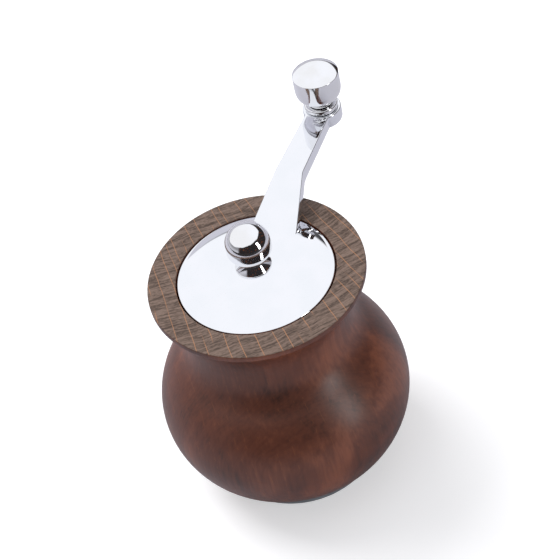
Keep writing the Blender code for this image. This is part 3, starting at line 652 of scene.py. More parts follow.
def noise(tree: bpy.types.NodeTree, place: bpy.types.NodeSocket, scale: Sequence[float],
          detail: float = 2.0, distortion: float = 0.0) -> bpy.types.NodeSocket:
    """Return noise over a place in millimetres.

    Args:
        tree: The material's tree.
        place: The place.
        scale: Cycles in a millimetre along each axis.
        detail: Octaves of finer noise.
        distortion: How far the noise is stirred.

    Returns:
        The noise, about 0.5 in its middle.
    """
    stretched = add_node(tree, "ShaderNodeMapping", {"Vector": place, "Scale": tuple(scale)})
    return add_node(tree, "ShaderNodeTexNoise", {
        "Vector": stretched.outputs[0], "Scale": 1.0, "Detail": detail,
        "Distortion": distortion}).outputs[0]


@dataclass(frozen=True)
class StainedBeech:
    """Steamed beech, turned, stained dark brown and varnished satin.

    The block is cut with its grain upright, so the collar's top is end grain: fine growth rings
    round a pith far outside, crossed by thin pale rays that fan from it. On the turned sides the
    same rays end in short flecks, and the grain runs up and down. The varnish lies closed on the
    sides and sinks into the end grain, which stays paler and duller.
    """

    pith: Point = (138.9, 135.8)
    ring_spacing: float = 0.62
    ray_spacing: float = 3.4
    ray_width: float = 0.05
    side_dark: str = "371a10"
    side_mid: str = "53291a"
    side_light: str = "74402a"
    ray_fleck: str = "94562f"
    end_dark: str = "413229"
    end_light: str = "7b675c"
    end_ray: str = "ac7b58"
    varnish_roughness: float = 0.36

    def make(self) -> bpy.types.Material:
        """Return the material."""
        look, tree, shader = start_look("turned_stained_beech")
        place = object_place(tree)
        cut = add_node(tree, "ShaderNodeAttribute", attribute_name="end_grain").outputs["Fac"]
        wander = noise(tree, place, (0.05, 0.05, 0.012), 2.0)
        parts = add_node(tree, "ShaderNodeSeparateXYZ", {0: place})
        east = calc(tree, "SUBTRACT", self.pith[0], parts.outputs[0])
        north = calc(tree, "SUBTRACT", self.pith[1], parts.outputs[1])
        out = calc(tree, "SQRT", calc(tree, "ADD", calc(tree, "MULTIPLY", east, east),
                                      calc(tree, "MULTIPLY", north, north)))
        out = calc(tree, "ADD", out, calc(tree, "MULTIPLY", wander, 5.0))
        bearing = calc(tree, "ARCTAN2", north, east)
        round_way = calc(tree, "ADD", calc(tree, "MULTIPLY", bearing, math.hypot(*self.pith)),
                         calc(tree, "MULTIPLY", wander, 1.6))
        grain = self.rings(tree, place, out, round_way, parts.outputs[2])
        rays = self.rays(tree, place, out, round_way, parts.outputs[2], cut)
        end = blend_colours(tree, grain, srgb(self.end_dark), srgb(self.end_light))
        end = blend_colours(tree, calc(tree, "MULTIPLY", rays, 0.75), end, srgb(self.end_ray))
        side = self.sides(tree, place, grain, rays)
        colour = blend_colours(tree, cut, side, end)
        tree.links.new(colour, shader.inputs["Base Color"])
        fine = noise(tree, place, (2.6, 2.6, 0.25), 3.0)
        side_rough = remap(tree, fine, 0.2, 0.8, self.varnish_roughness - 0.04,
                           self.varnish_roughness + 0.06, smooth=False)
        rough = calc(tree, "ADD", calc(tree, "MULTIPLY", cut, 0.22), side_rough)
        tree.links.new(rough, shader.inputs["Roughness"])
        height = calc(tree, "ADD", calc(tree, "MULTIPLY", fine, 0.4), calc(tree, "MULTIPLY", grain, cut))
        bump = add_node(tree, "ShaderNodeBump", {
            "Strength": 0.22, "Distance": 0.00006, "Height": height})
        tree.links.new(bump.outputs[0], shader.inputs["Normal"])
        return look

    def rings(self, tree: bpy.types.NodeTree, place: bpy.types.NodeSocket, out: bpy.types.NodeSocket,
              round_way: bpy.types.NodeSocket, up: bpy.types.NodeSocket) -> bpy.types.NodeSocket:
        """Return the growth rings' tone, from dark late wood at 0 to pale early wood at 1."""
        along = add_node(tree, "ShaderNodeCombineXYZ", {
            0: out, 1: calc(tree, "MULTIPLY", round_way, 0.10), 2: calc(tree, "MULTIPLY", up, 0.012)})
        coarse = noise(tree, along.outputs[0], (1 / self.ring_spacing,) * 3, 4.0, 0.1)
        # Pores stand in short strings of about 0.3 mm, the finest that still shows at this size
        fine = noise(tree, along.outputs[0], (3.1, 9.0, 3.0), 3.0, 0.2)
        tone = calc(tree, "ADD", calc(tree, "MULTIPLY", coarse, 0.62), calc(tree, "MULTIPLY", fine, 0.38))
        return remap(tree, tone, 0.36, 0.62)

    def rays(self, tree: bpy.types.NodeTree, place: bpy.types.NodeSocket, out: bpy.types.NodeSocket,
             round_way: bpy.types.NodeSocket, up: bpy.types.NodeSocket,
             cut: bpy.types.NodeSocket) -> bpy.types.NodeSocket:
        """Return the rays' strength: thin lines over the end grain, short flecks on the sides."""
        sway = noise(tree, place, (0.11, 0.11, 0.4), 2.0)
        across = calc(tree, "ADD", round_way, calc(tree, "MULTIPLY", sway, 0.9))
        strips = add_node(tree, "ShaderNodeTexVoronoi", {
            "W": calc(tree, "DIVIDE", across, self.ray_spacing), "Scale": 1.0, "Randomness": 1.0},
            voronoi_dimensions="1D", feature="DISTANCE_TO_EDGE")
        gap = calc(tree, "MULTIPLY", strips.outputs["Distance"], self.ray_spacing)
        line = calc(tree, "SUBTRACT", 1.0, remap(tree, gap, self.ray_width, self.ray_width * 3.2))
        fade = add_node(tree, "ShaderNodeCombineXYZ", {
            0: calc(tree, "MULTIPLY", out, 0.07), 1: calc(tree, "MULTIPLY", round_way, 0.6),
            2: calc(tree, "MULTIPLY", up, 0.75)})
        broken = noise(tree, fade.outputs[0], (1.0, 1.0, 1.0), 1.0)
        shown = remap(tree, broken, 0.36, 0.52)
        fleck = remap(tree, broken, 0.50, 0.60)
        kept = calc(tree, "ADD", calc(tree, "MULTIPLY", cut, shown),
                    calc(tree, "MULTIPLY", calc(tree, "SUBTRACT", 1.0, cut), fleck))
        return calc(tree, "MULTIPLY", line, kept)

    def sides(self, tree: bpy.types.NodeTree, place: bpy.types.NodeSocket, grain: bpy.types.NodeSocket,
              rays: bpy.types.NodeSocket) -> bpy.types.NodeSocket:
        """Return the colour of the turned sides: cloudy stain, upright streaks and flecks."""
        cloud = noise(tree, place, (0.05, 0.05, 0.035), 3.0, 0.6)
        streak = noise(tree, place, (0.85, 0.85, 0.03), 4.0)
        tone = calc(tree, "ADD", calc(tree, "MULTIPLY", cloud, 0.72), calc(tree, "MULTIPLY", streak, 0.28))
        deep = blend_colours(tree, remap(tree, tone, 0.34, 0.52), srgb(self.side_dark), srgb(self.side_mid))
        pale = blend_colours(tree, remap(tree, tone, 0.50, 0.70), deep, srgb(self.side_light))
        lined = blend_colours(tree, calc(tree, "MULTIPLY", grain, 0.20), pale, srgb(self.side_light))
        return blend_colours(tree, calc(tree, "MULTIPLY", rays, 0.18), lined, srgb(self.ray_fleck))


@dataclass(frozen=True)
class PolishedChrome:
    """Zinc casting, buffed and chrome plated.

    It mirrors the room with a cool tint. Buffing leaves a faint wander in the mirror and, on the
    small knobs, the fine pitting of the casting under the plate.
    """

    name: str
    tint: str = "eceef2"
    roughness: float = 0.035
    pitting: float = 0.0

    def make(self) -> bpy.types.Material:
        """Return the material."""
        look, tree, shader = start_look(self.name)
        place = object_place(tree)
        cloud = noise(tree, place, (0.12, 0.12, 0.12), 2.0)
        tone = blend_colours(tree, remap(tree, cloud, 0.3, 0.7), srgb(self.tint), srgb("eff0f4"))
        tree.links.new(tone, shader.inputs["Base Color"])
        shader.inputs["Metallic"].default_value = 1.0
        # Pits of about 0.25 mm, near the smallest that the picture can hold
        pits = noise(tree, place, (4.2, 4.2, 4.2), 3.0)
        rough = remap(tree, pits, 0.3, 0.7, self.roughness, self.roughness + 0.03, smooth=False)
        tree.links.new(rough, shader.inputs["Roughness"])
        wander = noise(tree, place, (0.35, 0.35, 0.35), 1.0)
        height = calc(tree, "ADD", calc(tree, "MULTIPLY", wander, 0.6),
                      calc(tree, "MULTIPLY", pits, self.pitting))
        bump = add_node(tree, "ShaderNodeBump", {
            "Strength": 0.10, "Distance": 0.00004, "Height": height})
        tree.links.new(bump.outputs[0], shader.inputs["Normal"])
        return look


@dataclass(frozen=True)
class MachinedMetal:
    """Bar or sheet metal with the marks of its making.

    Turned faces show fine rings about the axis, drawn sides show lines along it, and handling
    leaves soft darker patches.
    """

    name: str
    tint: str
    dark: str
    roughness: float = 0.28
    lines_in_mm: float = 5.0

    def make(self) -> bpy.types.Material:
        """Return the material."""
        look, tree, shader = start_look(self.name)
        place = object_place(tree)
        parts = add_node(tree, "ShaderNodeSeparateXYZ", {0: place})
        flat = add_node(tree, "ShaderNodeCombineXYZ", {0: parts.outputs[0], 1: parts.outputs[1]})
        out = add_node(tree, "ShaderNodeVectorMath", {0: flat.outputs[0]}, operation="LENGTH").outputs[1]
        marks = add_node(tree, "ShaderNodeCombineXYZ", {
            0: calc(tree, "MULTIPLY", out, self.lines_in_mm),
            2: calc(tree, "MULTIPLY", parts.outputs[2], self.lines_in_mm)})
        lines = noise(tree, marks.outputs[0], (1.0, 1.0, 1.0), 2.0)
        cloud = noise(tree, place, (0.3, 0.3, 0.3), 3.0)
        tone = blend_colours(tree, remap(tree, cloud, 0.35, 0.65), srgb(self.dark), srgb(self.tint))
        tree.links.new(tone, shader.inputs["Base Color"])
        shader.inputs["Metallic"].default_value = 1.0
        rough = remap(tree, lines, 0.3, 0.7, self.roughness - 0.06, self.roughness + 0.08, smooth=False)
        tree.links.new(rough, shader.inputs["Roughness"])
        bump = add_node(tree, "ShaderNodeBump", {"Strength": 0.3, "Distance": 0.00003, "Height": lines})
        tree.links.new(bump.outputs[0], shader.inputs["Normal"])
        return look


@dataclass(frozen=True)
class MouldedPlastic:
    """Injection moulded plastic with a spark eroded, matt skin."""

    name: str
    tint: str
    pale: str
    roughness: float = 0.48
    grit_in_mm: float = 3.2

    def make(self) -> bpy.types.Material:
        """Return the material."""
        look, tree, shader = start_look(self.name)
        place = object_place(tree)
        grit = noise(tree, place, (self.grit_in_mm,) * 3, 3.0)
        cloud = noise(tree, place, (0.09, 0.09, 0.09), 2.0)
        tone = blend_colours(tree, remap(tree, cloud, 0.3, 0.7), srgb(self.tint), srgb(self.pale))
        tree.links.new(tone, shader.inputs["Base Color"])
        rough = remap(tree, grit, 0.3, 0.7, self.roughness - 0.05, self.roughness + 0.08, smooth=False)
        tree.links.new(rough, shader.inputs["Roughness"])
        bump = add_node(tree, "ShaderNodeBump", {"Strength": 0.25, "Distance": 0.00004, "Height": grit})
        tree.links.new(bump.outputs[0], shader.inputs["Normal"])
        return look


@dataclass(frozen=True)
class SinteredCeramic:
    """Pressed and sintered alumina: warm white, faintly speckled, with a dull sheen."""

    tint: str = "e4e0d6"
    speck: str = "cbc5b8"

    def make(self) -> bpy.types.Material:
        """Return the material."""
        look, tree, shader = start_look("sintered_ceramic")
        place = object_place(tree)
        specks = noise(tree, place, (2.4, 2.4, 2.4), 3.0)
        tone = blend_colours(tree, remap(tree, specks, 0.30, 0.46), srgb(self.speck), srgb(self.tint))
        tree.links.new(tone, shader.inputs["Base Color"])
        rough = remap(tree, specks, 0.3, 0.7, 0.34, 0.46, smooth=False)
        tree.links.new(rough, shader.inputs["Roughness"])
        bump = add_node(tree, "ShaderNodeBump", {"Strength": 0.2, "Distance": 0.00004, "Height": specks})
        tree.links.new(bump.outputs[0], shader.inputs["Normal"])
        return look


@dataclass
class Finishes:
    """All materials of the mill, each made once."""

    beech: bpy.types.Material = field(default_factory=lambda: StainedBeech().make())
    crank_chrome: bpy.types.Material = field(
        default_factory=lambda: PolishedChrome("buffed_chrome_crank").make())
    knob_chrome: bpy.types.Material = field(
        default_factory=lambda: PolishedChrome("chromed_casting_knob", "e9e9ea", 0.05, 1.0).make())
    steel: bpy.types.Material = field(
        default_factory=lambda: MachinedMetal("turned_stainless_steel", "c4c5c6", "a2a3a5").make())
    spring_steel: bpy.types.Material = field(
        default_factory=lambda: MachinedMetal("drawn_spring_steel", "b4b6ba", "8c8e93", 0.22, 1.0).make())
    brass: bpy.types.Material = field(
        default_factory=lambda: MachinedMetal("turned_brass", "d9b25c", "b08a3e", 0.24).make())
    grey: bpy.types.Material = field(
        default_factory=lambda: MouldedPlastic("moulded_grey_foot", "6a6e72", "787c80").make())
    nylon: bpy.types.Material = field(
        default_factory=lambda: MouldedPlastic("moulded_black_nylon", "1b1c1e", "2a2b2d", 0.42).make())
    ceramic: bpy.types.Material = field(default_factory=lambda: SinteredCeramic().make())


# Wooden body ----------------------------------------------------------------


@dataclass
class WoodenBody:
    """The turned body: round belly, waist, wide collar and the borings inside."""

    finishes: Finishes
    top: float = 83.1
    collar_radius: float = 34.0
    collar_edge: float = 1.3
    neck_radius: float = 26.1
    neck_drop: float = 18.5
    belly_radius: float = 40.8
    belly_half: float = 33.6
    belly_level: float = 29.2
    base: float = 3.4
    mouth_radius: float = 25.0
    mouth_floor: float = 77.0
    bridge_bore: float = 22.4
    bridge_seat: float = 74.4
    reservoir_radius: float = 17.5
    burr_bore: float = 19.4
    burr_bore_top: float = 20.3
    shoulder_share: float = 0.625
    sides: int = 192
    mark_radius: float = 29.45
    mark_angles: tuple[float, ...] = (37.0, -78.5, 160.0)
    mark_width: float = 0.95
    mark_depth: float = 0.55
    end_grain_depth: float = 0.16

    def outline(self) -> list[Point]:
        """Return the outline of the turning, down its outside and up its bore."""
        rim_base = self.top - 0.4 - self.collar_edge
        flare = (self.collar_radius - 0.5, rim_base - 0.5)
        neck = (self.neck_radius, self.top - self.neck_drop)
        up = self.shoulder_share
        across = self.belly_radius * math.sqrt(1 - up * up)
        shoulder = (across, self.belly_level + up * self.belly_half)
        slope = (self.belly_radius / self.belly_half) ** 2 * (up * self.belly_half) / across
        rise = 0.5 * (neck[1] - shoulder[1])
        width = flare[0] - neck[0]
        waist = bowed(flare, (flare[0] - 0.55 * width, flare[1] - width / 3),
                      (neck[0], neck[1] + 0.5 * (flare[1] - neck[1])), neck, 16)
        shoulder_line = bowed(neck, (neck[0], neck[1] - rise),
                              (shoulder[0] - slope * rise / 2, shoulder[1] + rise / 2), shoulder, 12)
        top_angle = math.degrees(math.asin(up))
        base_angle = math.degrees(math.asin((self.base - self.belly_level) / self.belly_half))
        belly = arched((0.0, self.belly_level), self.belly_radius, self.belly_half,
                       top_angle, base_angle, 40)
        corners: list[Corner] = [(self.collar_radius, self.top, 0.45),
                                 (self.collar_radius, rim_base - 0.35, 0.5)]
        corners += waist[1:] + shoulder_line[1:] + belly[1:-1]
        corners += [(belly[-1][0], self.base, 0.25), (self.burr_bore, self.base, 0.3),
                    (self.burr_bore, self.burr_bore_top, 0.2),
                    (self.reservoir_radius, self.burr_bore_top, 0.3),
                    (self.reservoir_radius, self.bridge_seat, 0.3),
                    (self.bridge_bore, self.bridge_seat, 0.1),
                    (self.bridge_bore, self.mouth_floor, 0.2),
                    (self.mouth_radius, self.mouth_floor, 0.2),
                    (self.mouth_radius, self.top, 0.35)]
        return eased(corners)

    def build(self) -> None:
        """Build the body, drill the marks in its collar and dress it."""
        body = make_blank("turned_body", turn_outline(self.outline(), self.sides))
        drill = make_blank("mark_drill", self.drill_pair())
        tree = ring_cut_tree()
        for angle in self.mark_angles:
            tree.grow(body, {"Count": 1, "Radius": self.mark_radius, "First angle": math.radians(angle),
                             "Cutter": drill, "Finish": self.finishes.beech})
        bpy.data.objects.remove(drill, do_unlink=True)
        self.mark_end_grain(body)
        finish_piece(body, self.finishes.beech, Body.MILL, Slot.BEECH, "wooden_body")

    def drill_pair(self) -> bmesh.types.BMesh:
        """Return two small drill points that stand side by side across the collar."""
        apart = self.mark_width * 0.62
        tip = self.top - self.mark_depth
        outline = [(0.0, tip - 0.12), (self.mark_width / 2 * 0.8, tip + 0.1),
                   (self.mark_width / 2, self.top - 0.1), (self.mark_width / 2 + 0.12, self.top + 0.05),
                   (self.mark_width / 2 + 0.12, self.top + 0.5), (0.0, self.top + 0.5)]
        return join_shapes([turn_outline(outline, 20, (0.0, side * apart)) for side in (-1, 1)])

    def mark_end_grain(self, body: bpy.types.Object) -> None:
        """Mark how far each point shows end grain, which the wood's pattern reads."""
        mesh = body.data
        marks = mesh.attributes.new("end_grain", "FLOAT", "POINT")
        least = self.top - self.end_grain_depth
        marks.data.foreach_set("value", [float(point.co.z > least) for point in mesh.vertices])


# Foot and burrs -------------------------------------------------------------


@dataclass
class FootCarrier:
    """The moulded foot that the mill stands on, its tube for the burrs and its screws."""

    finishes: Finishes
    radius: float = 27.4
    thickness: float = 3.1
    outlet: float = 14.4
    seat: float = 4.0
    bore: float = 16.6
    tube: float = 19.0
    tube_top: float = 20.0
    screw_circle: float = 23.2
    screw_head: float = 2.6
    screw_head_depth: float = 1.7
    screw_sink: float = 0.4
    screw_thread: float = 1.3
    screw_length: float = 11.5
    sides: int = 144

    def build(self) -> None:
        """Build the foot with its countersunk holes, and its screws."""
        corners: list[Corner] = [
            (self.outlet, 0.0, 0.5), (self.radius - 5.2, 0.0, 0.1), (self.radius, 0.0, 0.7),
            (self.radius, self.thickness, 0.3), (self.tube, self.thickness, 0.2),
            (self.tube, self.tube_top, 0.4), (self.bore, self.tube_top, 0.4),
            (self.bore, self.seat, 0.2), (self.outlet, self.seat, 0.3)]
        foot = make_blank("foot_ring", turn_outline(eased(corners), self.sides))
        head = self.screw_head + 0.3
        shank = self.screw_thread + 0.3
        sink = [(0.0, -1.0), (head, -1.0), (head, self.screw_sink),
                (shank, self.screw_sink + self.screw_head_depth + 0.3), (shank, self.thickness + 1.0),
                (0.0, self.thickness + 1.0)]
        cutter = make_blank("countersink", turn_outline(sink, 32))
        ring_cut_tree().grow(foot, {
            "Count": 3, "Radius": self.screw_circle, "First angle": math.radians(90),
            "Cutter": cutter, "Finish": self.finishes.grey})
        bpy.data.objects.remove(cutter, do_unlink=True)
        finish_piece(foot, self.finishes.grey, Body.MILL, Slot.GREY, "foot_carrier")
        self.build_screws()

    def build_screws(self) -> None:
        """Build the countersunk screws, each with its cross recess and its thread."""
        low = self.screw_sink + 0.1
        neck = self.screw_sink + self.screw_head_depth
        outline: list[Point] = [(0.0, low), (self.screw_head - 0.15, low), (self.screw_head, low + 0.12),
                                (self.screw_thread - 0.2, neck),
                                (self.screw_thread - 0.2, self.screw_length - 1.6),
                                (0.0, self.screw_length)]
        screw = make_blank("foot_screws", turn_outline(outline, 32))
        combine(screw, make_blank("recess", cross_recess(low, 1.15, 1.5, upward=False)), "DIFFERENCE")
        winding_tree().grow(screw, {
            "Radius": self.screw_thread - 0.22, "Turns": 6.0, "Low end": neck + 0.9, "Height": 6.6,
            "Wire radius": 0.22, "Wire sides": 4, "Steps in a turn": 16, "Finish": self.finishes.steel})
        ring_of_tree().grow(screw, {"Count": 3, "Radius": self.screw_circle,
                                    "First angle": math.radians(90), "Finish": self.finishes.steel})
        finish_piece(screw, self.finishes.steel, Body.MILL, Slot.STEEL,
                     "foot_screw_1", "foot_screw_2", "foot_screw_3")


def cross_recess(face: float, half: float, depth: float, upward: bool) -> bmesh.types.BMesh:
    """Return the tapered cross that a driver fits in.

    Args:
        face: The level of the screw's face.
        half: Half the width of the cross at that face.
        depth: How deep it goes.
        upward: Whether the screw's face looks up.
    """
    way = -1.0 if upward else 1.0
    blade = half * 0.34
    arms = []
    for along, side in ((half, blade), (blade, half)):
        rings = []
        for level, share in ((face - way * 0.4, 1.0), (face, 1.0), (face + way * depth * 0.6, 0.62),
                             (face + way * depth, 0.18)):
            rings.append([(x * along * share, y * side * share, level)
                          for x, y in ((-1, -1), (1, -1), (1, 1), (-1, 1))])
        arms.append(loft_rings(rings))
    for arm in arms:
        bmesh.ops.recalc_face_normals(arm, faces=arm.faces)
    return join_shapes(arms)


@dataclass
class Burrs:
    """The ceramic burrs: a toothed ring held in the foot, and the toothed cone inside it."""

    finishes: Finishes
    stator_radius: float = 16.3
    stator_base: float = 4.3
    stator_top: float = 14.3
    throat_level: float = 9.5
    mouth: float = 14.6
    throat: float = 11.6
    outlet: float = 12.6
    stator_teeth: int = 32
    rotor_base: float = 5.4
    rotor_top: float = 13.6
    rotor_top_radius: float = 7.4
    running_gap: float = 1.0
    fine_top: float = 8.844
    bore: float = 4.6
    steps_per_tooth: int = 9

    def build(self) -> None:
        """Build both burrs."""
        self.build_stator()
        self.build_rotor()

    def build_stator(self) -> None:
        """Build the outer burr, with teeth that lead down its inner cone."""
        sides = self.stator_teeth * self.steps_per_tooth
        corners: list[Corner] = [
            (self.stator_radius, self.stator_base, 0.3), (self.stator_radius, self.stator_top, 0.3),
            (self.mouth, self.stator_top, 0.2)]
        face = [(self.mouth - 0.8, self.stator_top - 1.1), (self.throat + 1.1, self.throat_level),
                (self.outlet + 0.55, self.stator_base)]
        rows = []
        for start, end, steps in ((face[0], face[1], 8), (face[1], face[2], 8)):
            rows += [(start[0] + (end[0] - start[0]) * step / steps,
                      start[1] + (end[1] - start[1]) * step / steps, 0.0) for step in range(steps)]
        corners += rows + [(face[2][0], face[2][1], 0.0)]
        stator = make_blank("toothed_ring_burr", turn_outline(eased(corners, 3), sides))
        self.mark_teeth(stator, self.stator_share)
        tooth_tree().grow(stator, {
            "Teeth": float(self.stator_teeth), "Tooth depth": -1.1, "Lead": 0.020,
            "Rise share": 0.22, "Finish": self.finishes.ceramic})
        finish_piece(stator, self.finishes.ceramic, Body.MILL, Slot.CERAMIC, "stator_burr", crease=40)

    def stator_share(self, out: float, level: float) -> float:
        """Return how deep the teeth are cut at a place on the stator's inner cone."""
        if out > self.mouth - 0.5:
            return 0.0
        if level > self.throat_level:
            return 0.25 + 0.75 * (self.stator_top - 1.1 - level) / (self.stator_top - 1.1 - self.throat_level)
        return 0.5 + 0.5 * (level - self.stator_base) / (self.throat_level - self.stator_base)

    def build_rotor(self) -> None:
        """Build the inner burr: eight feeding flutes above, fine teeth below, a square bore."""
        sides = self.stator_teeth * self.steps_per_tooth
        tip = self.outlet - self.running_gap
        rings: list[Ring] = [polygon_ring(self.bore, 4, self.rotor_base, sides, 0.05),
                             round_ring(tip - 0.9, self.rotor_base, sides)]
        steps = 5
        slope = (self.throat - self.outlet) / (self.throat_level - self.stator_base)
        for step in range(1, steps + 1):
            level = self.rotor_base + (self.fine_top - self.rotor_base) * step / steps
            rings.append(round_ring(tip + slope * (level - self.stator_base) - 0.9, level, sides))
        rings += self.flute_rings(sides)
        rings.append(polygon_ring(self.bore, 4, self.rotor_top, sides, 0.05))
        rotor = make_blank("toothed_cone_burr", loft_rings(rings, closed=True))
        self.mark_teeth(rotor, lambda out, level: 1.0 if out > 8.0 and level <= self.fine_top + 0.01 else 0.0)
        tooth_tree().grow(rotor, {
            "Teeth": float(self.stator_teeth), "Tooth depth": 0.9, "Lead": -0.057,
            "Rise share": 0.22, "Finish": self.finishes.ceramic})
        finish_piece(rotor, self.finishes.ceramic, Body.DRIVE, Slot.CERAMIC, "rotor_burr", crease=40)

    def flute_rings(self, sides: int) -> list[Ring]:
        """Return the rings of the feeding flutes, which wind up and in to the rotor's top."""
        flutes, depth, twist = 8, 2.2, -2 * math.pi / 8 * 0.85
        slope = (self.throat - self.outlet) / (self.throat_level - self.stator_base)
        start = self.outlet - self.running_gap + slope * (self.fine_top - self.stator_base)
        rings: list[Ring] = []
        steps = 14
        for step in range(1, steps + 1):
            share = step / steps
            level = self.fine_top + share * (self.rotor_top - self.fine_top)
            tip = start + share * share * (self.rotor_top_radius - start)
            grown = min(share * 4, 1.0)
            ring: Ring = []
            for side in range(sides):
                angle = 2 * math.pi * side / sides
                phase = ((angle - twist * share) / (2 * math.pi) * flutes) % 1.0
                saw = min(phase / 0.22, (1 - phase) / 0.78)
                reach = tip - depth * (1 - saw) * grown - 0.9 * (1 - grown)
                ring.append((reach * math.cos(angle), reach * math.sin(angle), level))
            rings.append(ring)
        return rings

    def mark_teeth(self, thing: bpy.types.Object, share: Callable[[float, float], float]) -> None:
        """Mark how much tooth each point carries, for the tree that cuts the teeth."""
        marks = thing.data.attributes.new("toothed", "FLOAT", "POINT")
        marks.data.foreach_set("value", [share(math.hypot(p.co.x, p.co.y), p.co.z)
                                         for p in thing.data.vertices])


# Bridge, spider and spring --------------------------------------------------


@dataclass
class NeckParts:
    """What hangs in the neck and over the burrs: bridge, screws, spider and spring."""

    finishes: Finishes
    bridge_base: float = 74.7
    bridge_top: float = 76.7
    bridge_radius: float = 22.1
    window_radius: float = 17.2
    spoke_width: float = 5.2
    hub_radius: float = 6.6
    hub_base: float = 71.0
    hub_top: float = 77.4
    screw_circle: float = 19.95
    spider_base: float = 14.6
    spider_top: float = 17.0
    spider_radius: float = 16.3
    spider_window: float = 14.6
    spider_spoke: float = 3.0
    spring_radius: float = 5.6
    spring_wire: float = 0.4
    spring_turns: float = 6.0
    spring_base: float = 57.5
    spring_height: float = 12.8
    bush_wall: float = 1.1
    bush_play: float = 0.3
    shaft_play: float = 0.15

    def bush_bore(self) -> float:
        """Return the bore that the drive bush turns in."""
        return HOLE_CORNER + self.bush_wall + self.bush_play

    def build(self) -> None:
        """Build the bridge, its screws, the spider and the spring."""
        self.build_bridge()
        self.build_screws()
        self.build_spider()
        self.build_spring()

    def window(self, inner: float, outer: float, spoke: float, low: float, high: float,
               gap: float = 0.0) -> bpy.types.Object:
        """Make the cutter of one window between two spokes, with rounded corners.

        Args:
            inner: The radius of the hub.
            outer: The radius of the rim's bore.
            spoke: The width of a spoke.
            low: Where the cut starts.
            high: Where the cut ends.
            gap: How far the window stays off the hub and rim.
        """
        half = math.pi / 3
        inner_angle = half - math.asin(spoke / 2 / (inner + gap))
        outer_angle = half - math.asin(spoke / 2 / (outer - gap))
        steps = 14
        arc_out = [((outer - gap) * math.cos(outer_angle * (2 * s / steps - 1)),
                    (outer - gap) * math.sin(outer_angle * (2 * s / steps - 1)), 0.0)
                   for s in range(steps + 1)]
        arc_in = [((inner + gap) * math.cos(inner_angle * (1 - 2 * s / steps)),
                   (inner + gap) * math.sin(inner_angle * (1 - 2 * s / steps)), 0.0)
                  for s in range(steps + 1)]
        outline = [(x, y, 1.0 if place in (0, steps, steps + 1, 2 * steps + 1) else 0.0)
                   for place, (x, y, _) in enumerate(arc_out + arc_in)]
        rounded = eased(outline, 5)
        return make_blank("window", loft_rings([[(x, y, low) for x, y in rounded],
                                                [(x, y, high) for x, y in rounded]]))

    def build_bridge(self) -> None:
        """Build the bridge plate and open its windows and screw holes."""
        bore = self.bush_bore()
        corners: list[Corner] = [
            (bore, self.hub_base, 0.2), (self.hub_radius, self.hub_base, 0.4),
            (self.hub_radius, self.bridge_base, 0.5), (self.bridge_radius, self.bridge_base, 0.2),
            (self.bridge_radius, self.bridge_top, 0.3), (self.hub_radius, self.bridge_top, 0.3),
            (self.hub_radius, self.hub_top, 0.25), (bore, self.hub_top, 0.2)]
        bridge = make_blank("bridge_plate_pressed", turn_outline(eased(corners), 128))
        tree = ring_cut_tree()
        window = self.window(self.hub_radius + 0.1, self.window_radius, self.spoke_width,
                             self.bridge_base - 1, self.bridge_top + 1)
        tree.grow(bridge, {"Count": 3, "Radius": 0.0, "First angle": 0.0,
                           "Cutter": window, "Finish": self.finishes.steel})
        bpy.data.objects.remove(window, do_unlink=True)
        hole = make_blank("screw_hole", turn_outline(
            [(0.0, self.bridge_base - 1), (1.5, self.bridge_base - 1), (1.5, self.bridge_top + 1),
             (0.0, self.bridge_top + 1)], 24))
        tree.grow(bridge, {"Count": 3, "Radius": self.screw_circle, "First angle": math.radians(60),
                           "Cutter": hole, "Finish": self.finishes.steel})
        bpy.data.objects.remove(hole, do_unlink=True)
        finish_piece(bridge, self.finishes.steel, Body.MILL, Slot.STEEL, "bridge_plate")

    def build_screws(self) -> None:
        """Build the pan head screws of the bridge."""
        head = self.bridge_top + 0.3
        tip = self.bridge_top - 8.0
        corners: list[Corner] = [
            (0.0, tip, 0.0), (1.0, tip + 1.2, 0.0), (1.0, head, 0.0), (2.2, head, 0.1),
            (2.2, head + 0.75, 0.5), (1.2, head + 1.3, 0.6), (0.0, head + 1.3, 0.0)]
        screw = make_blank("bridge_screws", turn_outline(eased(corners), 32))
        recess = make_blank("recess", cross_recess(head + 1.3, 1.0, 1.1, upward=True))
        combine(screw, recess, "DIFFERENCE")
        winding_tree().grow(screw, {
            "Radius": 1.0, "Turns": 5.0, "Low end": tip + 1.2, "Height": 5.6, "Wire radius": 0.2,
            "Wire sides": 4, "Steps in a turn": 16, "Finish": self.finishes.steel})
        ring_of_tree().grow(screw, {"Count": 3, "Radius": self.screw_circle,
                                    "First angle": math.radians(60), "Finish": self.finishes.steel})
        finish_piece(screw, self.finishes.steel, Body.MILL, Slot.STEEL,
                     "bridge_screw_1", "bridge_screw_2", "bridge_screw_3")

